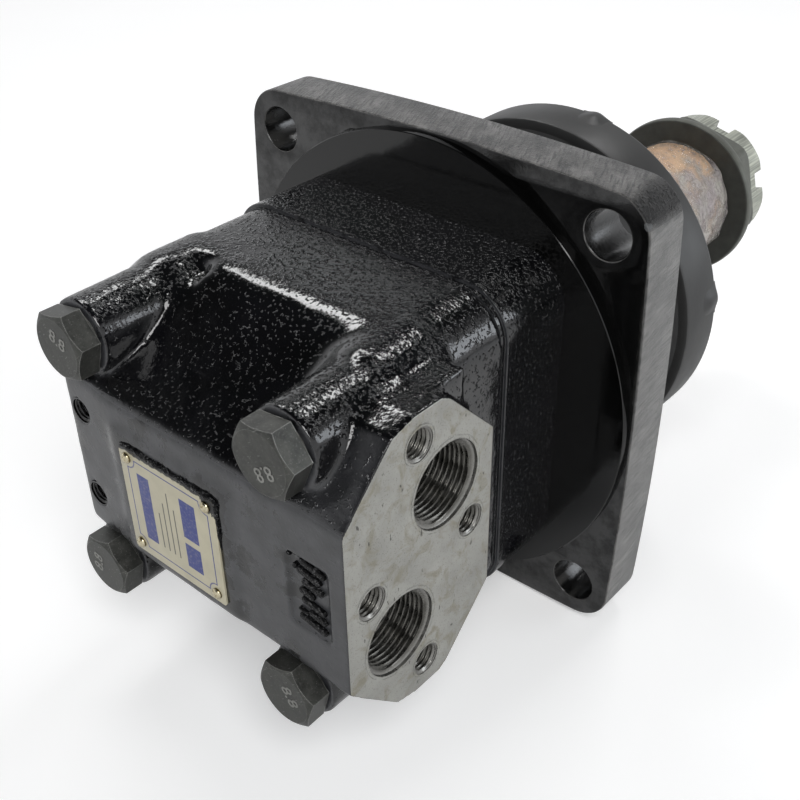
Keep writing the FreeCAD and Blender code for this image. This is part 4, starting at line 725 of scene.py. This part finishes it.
def flange_outline():
    """Four bowed sides joined by round corners."""
    half, bow, radius = FLANGE_HALF, FLANGE_BOW, FLANGE_ROUND
    bow_radius = (half ** 2 + bow ** 2) / (2 * bow)
    away = bow_radius - half - bow
    # centre (c, c) of a corner's circle that touches two sides from inside:
    # (c + away)^2 + c^2 = (bow_radius - radius)^2
    reach = bow_radius - radius
    c = (-away + sqrt(2 * reach ** 2 - away ** 2)) / 2
    swing = degrees(atan2(c, c + away))
    side = arc(-away, 0, bow_radius, -swing, swing, 30)[:-1]
    return four_times(side + arc(c, c, radius, swing, 90 - swing, 20)[:-1])


def build_flange():
    holes = [arc(sx * HOLE_REACH, sz * HOLE_REACH, HOLE_RADIUS, 0, 354, 60)
             for sx in (1, -1) for sz in (1, -1)]
    holes.append(arc(0, 0, 60.0, 0, 357, 120))
    mesh = cut_plate("flange_body", flange_outline(), holes, 0.0, FLANGE_THICK, 0.7)
    piece = add_piece("flange_body", mesh, FLANGE_PAINT, smooth_angle=28)
    mesh.materials.append(BORE_PAINT)
    for face in mesh.polygons:
        x, _, z = face.center / MM
        if hypot(abs(x) - HOLE_REACH, abs(z) - HOLE_REACH) < HOLE_RADIUS + 0.2:
            face.material_index = 1
    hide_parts("front_housing")


def build_spigot():
    rear = SPIGOT_REAR
    edge = 0.25
    profile = [(52, 1), (SPIGOT_RADIUS, 1), (SPIGOT_RADIUS, rear + edge), (SPIGOT_RADIUS - edge, rear),
               (52, rear)]
    add_piece("flange_spigot", lathe("flange_spigot", profile), GLOSS_BLACK, smooth_angle=25)


def build_barrel():
    """Bearing bores, neck and drum in one turned piece."""
    profile = [(49, JOINT), (49, -28.5), (47.5, -28.5), (47.5, 9), (42, 9), (42, 39), (51, 45), (51, 51),
               (57.5, 51), (57.5, 77), (67.5, 77), (67.5, DRUM_FRONT - 0.4), (67.9, DRUM_FRONT),
               (DRUM_RADIUS - 1.3, DRUM_FRONT), (DRUM_RADIUS - 0.4, DRUM_FRONT - 0.35),
               (DRUM_RADIUS, DRUM_FRONT - 1.2), (DRUM_RADIUS, DRUM_REAR + 1.3),
               (DRUM_RADIUS - 0.4, DRUM_REAR + 0.4), (DRUM_RADIUS - 1.3, DRUM_REAR),
               (66.2, DRUM_REAR), (64.7, DRUM_REAR - 0.7), (64, DRUM_REAR - 2.2),
               (64, 23), (64.6, 20.8), (66.5, 19.6), (53.5, 19.6), (53.5, JOINT)]
    mesh = lathe("housing_barrel", profile, 240)
    add_piece("housing_barrel", mesh, DRUM_PAINT, smooth_angle=25)


def build_nibs():
    """Low cast swellings on the drum's front edge, as (y, share of the rise) steps."""
    steps = ((79.0, 0.0), (81.0, 0.25), (83.0, 0.75), (85.0, 1.0), (88.0, 0.95), (89.1, 0.8), (89.5, 0.55))
    half = 6.5
    for k in range(5):
        rings = []
        for y, size in steps:
            flat = []
            for j in range(25):
                across = (j / 12 - 1) * half
                rise = size * 1.6 * cos(pi / 2 * across / half) ** 2 - 0.15
                flat.append((sqrt(DRUM_RADIUS ** 2 - across ** 2) + rise, across))
            flat += [(DRUM_RADIUS - 2.5, half), (DRUM_RADIUS - 2.5, -half)]
            rings.append([(x, y, z) for x, z in turned(flat, 9 + 72 * k)])
        add_piece(f"drum_nib_{k}", rings_to_mesh(f"drum_nib_{k}", rings), DRUM_PAINT)


def build_rear_neck():
    """The rounded square neck behind the flange, with the joint's groove at its rear end."""
    steps = [(JOINT, -1.2), (JOINT + 1.9, -1.2), (JOINT + 2.0, -1.1), (JOINT + 2.0, -0.3), (JOINT + 2.3, 0.0),
             (-26, 0.0), (-18, 0.0), (-10, 0.0), (-5.0, 0.0), (SPIGOT_REAR, 0.0), (SPIGOT_REAR + 0.6, 0.0)]
    outer = [[(x, y, z) for x, z in rounded_square(NECK_HALF + grow, NECK_ROUND + grow)]
             for y, grow in steps]
    inner = []
    for y, _ in reversed(steps):
        ring = []
        for x, _, z in outer[0]:
            scale = 53.0 / hypot(x, z)
            ring.append((x * scale, y, z * scale))
        inner.append(ring)
    mesh = rings_to_mesh("rear_neck", outer + inner, closed_rings=True)
    add_piece("rear_neck", mesh, BLACK_CAST, smooth_angle=40)


# Rear casting

def neighbour_average(points, edges, degree):
    total = np.zeros_like(points)
    for axis in range(3):
        total[:, axis] = (np.bincount(edges[:, 0], points[edges[:, 1], axis], len(points))
                          + np.bincount(edges[:, 1], points[edges[:, 0], axis], len(points)))
    return total / degree[:, None]


def soften_casting(mesh):
    """Round the joins of the casting as a mould would, and leave its machined faces as they are."""
    count = len(mesh.vertices)
    points = np.empty(count * 3)
    mesh.vertices.foreach_get("co", points)
    points = points.reshape(-1, 3) / MM
    start = points.copy()
    edges = np.empty(len(mesh.edges) * 2, dtype=np.int64)
    mesh.edges.foreach_get("vertices", edges)
    edges = edges.reshape(-1, 2)
    degree = np.maximum(np.bincount(edges.ravel(), minlength=count), 1).astype(float)
    x, y, z = start.T
    weight = np.ones(count)
    # bores of the gear set and valve, and the drilled passages behind the ports
    weight[(np.hypot(x, z) < 50.5) & (y > -101)] = 0.0
    weight[y > JOINT - 1.6] = 0.0
    for px, pz in BOLT_CENTRES:
        weight[np.hypot(x - px, z - pz) < 9.0] = 0.0
        weight[(np.hypot(x - px, z - pz) < 14.0) & (y < BOLT_SEAT + 1.2)] *= 0.15
    for hx, hz in WALL_HOLES:
        weight[np.hypot(x - hx, z - hz) < 5.5] = 0.0
    for py, pz in PORTS:
        weight[(x > 48) & (np.hypot(y - py, z - pz) < 17)] = 0.0
        for side in (1, -1):
            away = np.hypot(y - py + side * MANIFOLD_REACH[0], z - pz - side * MANIFOLD_REACH[1])
            weight[(x > 48) & (away < 7.5)] = 0.0
    weight[(x > 46) & (x < 66) & (np.abs(z) < 15.5) & (y < -116.4)] *= 0.05
    push = np.repeat(weight[:, None], 3, axis=1)
    push[x > PORT_FACE - 6, 1:] *= 0.12
    push[(x > PORT_FACE - 12) & (x <= PORT_FACE - 6), 1:] *= 0.35
    milled = x > PORT_FACE - 0.6
    push[x > PORT_FACE - 1.3, 0] = 0.0
    for _ in range(34):
        points += push * 0.55 * (neighbour_average(points, edges, degree) - points)
    step = (y > -90) & (y < -77) & (np.abs(z) > 40) & (np.abs(x) > 28) & (x < 60)
    step |= (y > SLOPE_START - 6) & (y < SLOPE_START + 7) & (np.abs(z) > 50) & (x < 52)
    softer = np.where(step, weight, 0.0)[:, None] * 0.55
    for _ in range(60):
        points += softer * (neighbour_average(points, edges, degree) - points)
    fine = np.where((weight > 0) & (weight < 1), 0.4, 0.0)
    for _ in range(4):
        points += fine[:, None] * (neighbour_average(points, edges, degree) - points)
    points[milled, 0] = PORT_FACE
    # slow waves of a sand mould, kept off the machined faces; the seed makes them the same on each run
    noise.seed_set(1)
    for k in np.nonzero((weight >= 1) & (x < PORT_FACE - 1.3))[0]:
        spot = Vector(points[k]) / 7.0
        points[k] += 0.10 * np.array(noise.noise_vector(spot))
    mesh.vertices.foreach_set("co", (points * MM).ravel())
    mesh.update()


def build_casting():
    solid = copy_solid("valve_housing")
    for y, z in PORTS:
        drill(solid, (PORT_FACE - 4, y, z), (1, 0, 0), 15.1, 28.0)
        for side in (1, -1):
            hole = (PORT_FACE - 2, y - side * MANIFOLD_REACH[0], z + side * MANIFOLD_REACH[1])
            drill(solid, hole, (1, 0, 0), 6.1, 24.0)
    for x, z in WALL_HOLES:
        drill(solid, (x, CASTING_REAR + 4, z), (0, 1, 0), 4.6, 20.0)
    remesh = solid.modifiers.new("skin", "REMESH")
    remesh.mode = "VOXEL"
    remesh.voxel_size = 0.7 * MM
    mesh = evaluated_mesh(solid)
    bpy.data.objects.remove(solid)
    soften_casting(mesh)
    mesh.name = "rear_casting"
    piece = add_piece("rear_casting", mesh, BLACK_CAST, smooth_angle=180)
    mesh.materials.append(BARE_IRON)
    normals = np.empty(len(mesh.polygons) * 3)
    mesh.polygons.foreach_get("normal", normals)
    centres = np.empty(len(mesh.polygons) * 3)
    mesh.polygons.foreach_get("center", centres)
    normals, centres = normals.reshape(-1, 3), centres.reshape(-1, 3) / MM
    bare = (centres[:, 0] > PORT_FACE - 0.3) & (normals[:, 0] > 0.7)
    mesh.polygons.foreach_set("material_index", bare.astype(np.int32))
    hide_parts("valve_housing")
    return piece


PORT_THREAD = {"major": 13.6, "minor": 12.45, "pitch": 1.814, "depth": 17.8, "mouth": 14.35,
               "mouth_depth": 0.9, "outer": 15.5}
MANIFOLD_THREAD = {"major": 5.15, "minor": 4.5, "pitch": 1.5, "depth": 13.8, "mouth": 5.5,
                   "mouth_depth": 0.3, "outer": 6.4}
WALL_THREAD = {"major": 4.0, "minor": 3.4, "pitch": 1.25, "depth": 12.0, "mouth": 4.3,
               "mouth_depth": 0.6, "outer": 4.8}


def thread_sleeve(name, face, across, up, axis, major, minor, pitch, depth, mouth, mouth_depth, outer):
    """The threaded wall of a tapped hole. axis is X for the port face and -Y for the rear face."""
    around = 96 if major > 8 else 56
    rows = int(depth / pitch * 10)
    steps = [depth * k / rows for k in range(rows + 1)]
    inner = []
    for s in steps:
        ring = []
        for k in range(around):
            turn = 2 * pi * k / around
            phase = (s / pitch - k / around) % 1.0
            wave = min(1.0, max(0.0, 1.35 * (1 - abs(2 * phase - 1)) - 0.12))
            radius = minor + (major - minor) * wave
            radius = max(radius, min(mouth - 0.2 * s, mouth - 2.5 * (s - mouth_depth)))
            ring.append((s, radius * cos(turn), radius * sin(turn)))
        inner.append(ring)
    back = [[(s, a, b) for a, b in circle(outer, around)] for s in (depth, 0.0)]
    rings = []
    for ring in inner + back:
        if axis == "X":
            rings.append([(face - s + 0.02, across + a, up + b) for s, a, b in ring])
        else:
            rings.append([(across + a, face + s - 0.02, up + b) for s, a, b in ring])
    finish = THREAD if axis == "X" else GLOSS_BLACK
    mesh = rings_to_mesh(name, rings, closed_rings=True)
    add_piece(name, mesh, finish, smooth_angle=40)
    mesh.materials.append(BARE_IRON if axis == "X" else BLACK_CAST)
    along = "XY".index(axis)
    for side in mesh.polygons:
        if abs(side.normal[along]) > 0.95 and abs(side.center[along] / MM - face) < 0.1:
            side.material_index = 1


def build_threads():
    for k, (y, z) in enumerate(PORTS):
        thread_sleeve(f"port_thread_{k}", PORT_FACE, y, z, "X", **PORT_THREAD)
        for side in (1, -1):
            name = f"manifold_thread_{2 * k + (side < 0)}"
            thread_sleeve(name, PORT_FACE, y - side * MANIFOLD_REACH[0], z + side * MANIFOLD_REACH[1], "X",
                          **MANIFOLD_THREAD)
    for k, (x, z) in enumerate(WALL_HOLES):
        thread_sleeve(f"wall_thread_{k}", CASTING_REAR + 1.5, x, z, "Y", **WALL_THREAD)


build_flange()
build_spigot()
build_barrel()
build_nibs()
build_rear_neck()
build_casting()
build_threads()


# Name plate and rivets

def build_plate():
    outline = rounded_rectangle(*PLATE_CENTRE, *PLATE_SIZE, 1.2)
    mesh = cut_plate("name_plate_sheet", outline, [], PAD_FACE - 0.8, PAD_FACE - 0.02, 0.12)
    piece = add_piece("name_plate_sheet", mesh, PLATE_PRINT, smooth_angle=30)
    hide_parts("name_plate")


def build_rivets():
    """Domed rivet heads."""
    face = PAD_FACE - 0.8
    profile = [(0.9, 4.0), (0.9, 0.0), (1.85, 0.0), (1.9, -0.25), (1.75, -0.7), (1.4, -1.1), (0.95, -1.35),
               (0.5, -1.42), (0.15, -1.4)]
    for k, (x, z) in enumerate(RIVET_PLACES):
        rings = [[(x + a, face + y, z + b) for a, b in circle(r, 28)] for r, y in profile]
        piece = add_piece(f"plate_rivet_{k}", rings_to_mesh(f"plate_rivet_{k}", rings), BRASS)
        if k == 0:
            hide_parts("plate_rivets")


def build_paint_bead():
    """Thick paint that has run against the plate's top and right edges."""
    cx, cz = PLATE_CENTRE
    right, top = cx + PLATE_SIZE[0] / 2, cz + PLATE_SIZE[1] / 2
    path = [(cx - PLATE_SIZE[0] / 2 + 42.0 * k / 70, top + 0.35) for k in range(71)]
    bend = [radians(a) for a in range(15, 91, 15)]
    path += [(right + 0.35 - 1.4 * (1 - sin(a)), top + 0.35 - 1.4 * (1 - cos(a))) for a in bend]
    path += [(right + 0.35, top - 1.6 - 0.6 * k) for k in range(30)]
    rings = []
    for k, (x, z) in enumerate(path):
        spot = Vector((x / 2.6, 0.0, z / 2.6))
        ends = min(1.0, k / 6, (len(path) - 1 - k) / 10)
        thick = ends * (0.85 + 0.45 * noise.noise(spot)) * (1.0 if z > top - 3 else 0.6) + 0.05
        across = (0.0, 1.0) if k < 71 else ((1.0, 0.0) if k > 76 else (0.7, 0.7))
        rings.append([(x + across[0] * thick * cos(turn), PAD_FACE - 0.2 - thick * sin(turn),
                       z + across[1] * thick * cos(turn))
                      for turn in (2 * pi * j / 14 for j in range(14))])
    add_piece("plate_paint_bead", rings_to_mesh("plate_paint_bead", rings), RELIEF_PAINT)


build_plate()
build_rivets()
build_paint_bead()


# Wrapping on the taper

def taper_radius(y):
    return TAPER_RADIUS - (y - TAPER_START) / 20.0


def wrap_skin(name, lift, crumple, thickness, material, seed):
    """A crumpled skin round the taper and over the key."""
    around, along = 220, 96
    first, last = 93.8, NUT_FACE - 0.5
    outside, inside = [], []
    for j in range(along + 1):
        y = first + (last - first) * j / along
        ring, under = [], []
        for k in range(around):
            turn = 2 * pi * k / around
            direction = Vector((cos(turn), 0, sin(turn)))
            spot = Vector((direction.x * 2.1, y / 17.0, direction.z * 2.1 + seed))
            folds = 1 - abs(noise.noise(spot)) * 2.2
            small = noise.noise(spot * 2.2)
            over_key = 0.0
            if direction.z < -0.9:
                along_key = min(1.0, max(0.0, min(y - 104, 152 - y) / 9.0))
                over_key = 4.6 * along_key * max(0.0, 1 - abs(direction.x) / 0.42) ** 0.8
            crease = crumple * (0.75 * max(folds, 0.0) ** 2 + 0.35 * small)
            radius = taper_radius(y) + lift + crease + over_key
            radius = max(radius, taper_radius(y) + lift * 0.7)
            ring.append((radius * direction.x, y, radius * direction.z))
            inner = radius - thickness
            under.append((inner * direction.x, y, inner * direction.z))
        outside.append(ring)
        inside.append(under)
    mesh = rings_to_mesh(name, outside + inside[::-1], closed_rings=True)
    return add_piece(name, mesh, material, "shaft", smooth_angle=60)


paper = wrap_skin("taper_paper", 0.8, 0.5, 0.25, PAPER, 4.0)
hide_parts("wrap_paper")
film = wrap_skin("taper_film", 1.6, 1.5, 0.12, FILM, 11.0)
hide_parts("wrap_film")


# Nut

def build_nut():
    """A round collar that runs softly into a hexagon with a slotted round crown."""
    around = 288
    collar = [(0.0, 36.2), (0.25, 36.7), (0.8, 37.0), (1.5, 37.2), (3.2, 37.2), (4.2, 37.0), (5.0, 36.5),
              (5.8, 35.7), (6.6, 34.6), (7.4, 33.4), (8.2, 32.4), (9.2, 31.4), (10.2, 30.8)]
    lengths = [11.5, 13.0, 14.5, 15.5, 16.3, 17.0, 17.6, 18.2, 18.8, 19.2, 20.5, 22.5, 24.5, 26.5, 28.0, 28.6,
               29.0]
    rings = []
    for s, round_radius in collar + [(s, 0.0) for s in lengths]:
        ring = []
        for k in range(around):
            turn = 2 * pi * k / around
            off = (degrees(turn) + 15) % 60 - 30
            bevel = max(31.8, 31.8 + 19.0 - s) - max(0.0, s - 28.2)
            radius = max(round_radius, min(30.0 / cos(radians(off)), 34.0, bevel))
            ring.append((radius * cos(turn), NUT_FACE + s, radius * sin(turn)))
        rings.append(ring)
    for radius, s in ((22.1, 29.0), (21.1, 28.0), (21.1, 1.0), (22.1, 0.0)):
        rings.append([(a, NUT_FACE + s, b) for a, b in circle(radius, around)])
    mesh = rings_to_mesh("nut_skin", rings, closed_rings=True)
    blank = new_object("nut_skin", mesh)
    work = bmesh.new()
    for k in range(6):
        turn = radians(15 + 60 * k)
        middle = Matrix.Rotation(-turn, 4, "Y") @ Matrix.Translation(Vector((30.8, NUT_FACE + 26.4, 0)) * MM)
        bmesh.ops.create_cube(work, size=1.0, matrix=middle @ Matrix.Diagonal((0.02, 0.0076, 0.0086, 1)))
    cutters = bpy.data.meshes.new("slots")
    work.to_mesh(cutters)
    work.free()
    mesh = cut_away(blank, new_object("slots", cutters))
    bpy.data.objects.remove(blank)
    mesh.name = "castle_nut"
    piece = add_piece("castle_nut", mesh, NUT_STEEL, "shaft", smooth_angle=24)
    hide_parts("slotted_nut")


build_nut()


# Carried-over solids

FINISHES = {
    "ground_steel": GROUND_STEEL, "pressed_steel": PRESSED_STEEL, "machined_steel": TURNED_STEEL,
    "spring_steel": PRESSED_STEEL, "seal_rubber": RUBBER, "nut_steel": NUT_STEEL, "bolt_steel": BOLT_STEEL,
    "washer_alloy": ALLOY, "plate_metal": PLATE_PRINT, "rivet_brass": BRASS, "oiled_paper": PAPER,
    "clear_film": FILM, "black_casting": BLACK_CAST,
}
for part in frame["record"]["subparts"]:
    solid = NODES[part["node"]]
    solid.data.materials.clear()
    solid.data.materials.append(FINISHES[part["material_slot"]])
for name, width in (("housing_bolts", 0.45), ("seal_carrier", 0.3), ("drain_plug", 0.4)):
    bevel = NODES[name].modifiers.new("edges", "BEVEL")
    bevel.width = width * MM
    bevel.segments = 2
    bevel.limit_method = "ANGLE"
    bevel.angle_limit = radians(25)
    bevel.harden_normals = True


# Bolt head marks

def head_mark(name, text, x, z, turn):
    """Low raised numerals on a bolt head."""
    curve = bpy.data.curves.new(name, "FONT")
    curve.body = text
    curve.size = 6.4 * MM
    curve.extrude = 0.1 * MM
    curve.bevel_depth = 0.05 * MM
    curve.align_x = curve.align_y = "CENTER"
    carrier = new_object(name, curve)
    mesh = evaluated_mesh(carrier)
    bpy.data.objects.remove(carrier)
    spin = Matrix.Rotation(radians(turn), 4, "Y")
    place = Matrix.Translation(Vector((x, BOLT_FACE, z)) * MM)
    mesh.transform(place @ spin @ Matrix.Rotation(radians(90), 4, "X"))
    add_piece(name, mesh, MARK_STEEL)


for k, ((x, z), turn) in enumerate(zip(BOLT_CENTRES, (150, 20, -80, 60))):
    swing = radians(turn)
    head_mark(f"bolt_mark_{k}", "8.8", x + 3.0 * sin(swing), z + 3.0 * cos(swing), turn)


# Cast pocket relief: a plain foundry grid of bars and dots

def relief_bar(name, x, z, width, height, rise, slant):
    corner = min(width, height) * 0.48
    bar = turned(rounded_rectangle(0, 0, width, height, corner), slant)
    outline = [(x + a, z + b) for a, b in bar]
    floor = CASTING_REAR + 1.4
    mesh = cut_plate(name, outline, [], floor - rise, floor + 0.4, min(0.5, corner * 0.8))
    add_piece(name, mesh, RELIEF_PAINT, smooth_angle=60)


bars = [(48.6, 12.2, 1.8, 1.4), (50.6, 8.6, 1.8, 1.8), (53.0, -7.4, 4.0, 1.0)]
rows = ((57.6, 10.0), (56.0, 9.5), (57.2, 8.5), (54.8, 6.0), (57.2, 9.5), (58.6, 7.0), (56.6, 11.0))
for step, (x, width) in enumerate(rows):
    bars.append((x, 11.2 - 3.6 * step, width, 2.4))
for k, (x, z, width, height) in enumerate(bars):
    relief_bar(f"pocket_relief_{k:02d}", x, z, width, height, 1.1, -9.0)


# Camera, floor and light

def photo_camera():
    azimuth, elevation, roll = (radians(a) for a in (41.38, 34.33, -0.91))
    back = Vector((sin(azimuth) * cos(elevation), -cos(azimuth) * cos(elevation), sin(elevation)))
    right = (-back).cross(Vector((0, 0, 1))).normalized()
    up = right.cross(-back)
    right, up = right * cos(roll) + up * sin(roll), up * cos(roll) - right * sin(roll)
    lens = bpy.data.cameras.new("camera")
    lens.sensor_width = 36.0
    lens.lens = 49.78
    lens.clip_start = 0.01
    camera = new_object("camera", lens)
    place = Matrix((right, up, back)).transposed().to_4x4()
    place.translation = Vector((0.22339, -0.26913, 0.21880))
    camera.matrix_world = place
    bpy.context.scene.camera = camera


def floor():
    low = cad_box[0][2] - 0.0002
    size = 3.0
    mesh = bpy.data.meshes.new("floor")
    mesh.from_pydata([(sx * size, sy * size, low) for sx, sy in CORNERS], [], [(0, 1, 2, 3)])
    ground = new_object("floor", mesh)
    f = Finish("pale_floor", grey(0.86), 0.7, specular=0.2)
    f.color(f.mix(f.noise(60.0, 3.0), grey(0.87), grey(0.89)))
    rays = f.node("ShaderNodeLightPath")
    f.set("Emission Color", (1, 1, 1, 1))
    f.feed("Emission Strength", f.times(rays.outputs["Is Camera Ray"], 0.3))
    mesh.materials.append(f.material)


def world():
    """A pale room whose ceiling is dark between its lamps."""
    room = bpy.data.worlds.new("room")
    bpy.context.scene.world = room
    room.use_nodes = True
    tree = room.node_tree
    background = tree.nodes["Background"]
    place = tree.nodes.new("ShaderNodeTexCoord")
    split = tree.nodes.new("ShaderNodeSeparateXYZ")
    ramp = tree.nodes.new("ShaderNodeValToRGB")
    tree.links.new(place.outputs["Generated"], split.inputs[0])
    tree.links.new(split.outputs["Z"], ramp.inputs[0])
    tree.links.new(ramp.outputs[0], background.inputs[0])
    levels = [(0.0, 0.95), (0.38, 0.85), (0.50, 0.62), (0.60, 0.10), (0.70, 0.02), (1.0, 0.02)]
    stops = ramp.color_ramp.elements
    while len(stops) < len(levels):
        stops.new(0.5)
    for stop, (position, level) in zip(stops, levels):
        stop.position = position
        stop.color = (level * 0.97, level * 0.98, level, 1)
    background.inputs[1].default_value = 1.0


def area_light(name, direction, distance, size, radiance, tint=(1, 1, 1)):
    """A rectangle that shines at the part from a direction, in metres."""
    light = bpy.data.lights.new(name, "AREA")
    light.shape = "RECTANGLE"
    light.size, light.size_y = size
    light.energy = radiance * pi * size[0] * size[1]
    light.color = tint
    lamp = new_object(name, light)
    toward = Vector(direction).normalized()
    lamp.location = toward * distance
    lamp.rotation_euler = toward.to_track_quat("Z", "Y").to_euler()


photo_camera()
floor()
world()
area_light("tube_left", (-0.61, 0.23, 0.76), 1.8, (0.6, 0.3), 9.0)
area_light("tube_far", (-0.03, 0.53, 0.85), 1.8, (0.6, 0.3), 10.0)
area_light("tube_back", (-0.45, 0.42, 0.79), 1.8, (0.35, 0.12), 12.0)
area_light("key", (0.62, -0.45, 0.85), 1.7, (0.8, 0.8), 7.0)
area_light("window", (0.80, 0.60, 0.28), 1.6, (0.7, 0.5), 3.0, (0.88, 0.94, 1.0))
bpy.context.scene.view_settings.view_transform = "Standard"
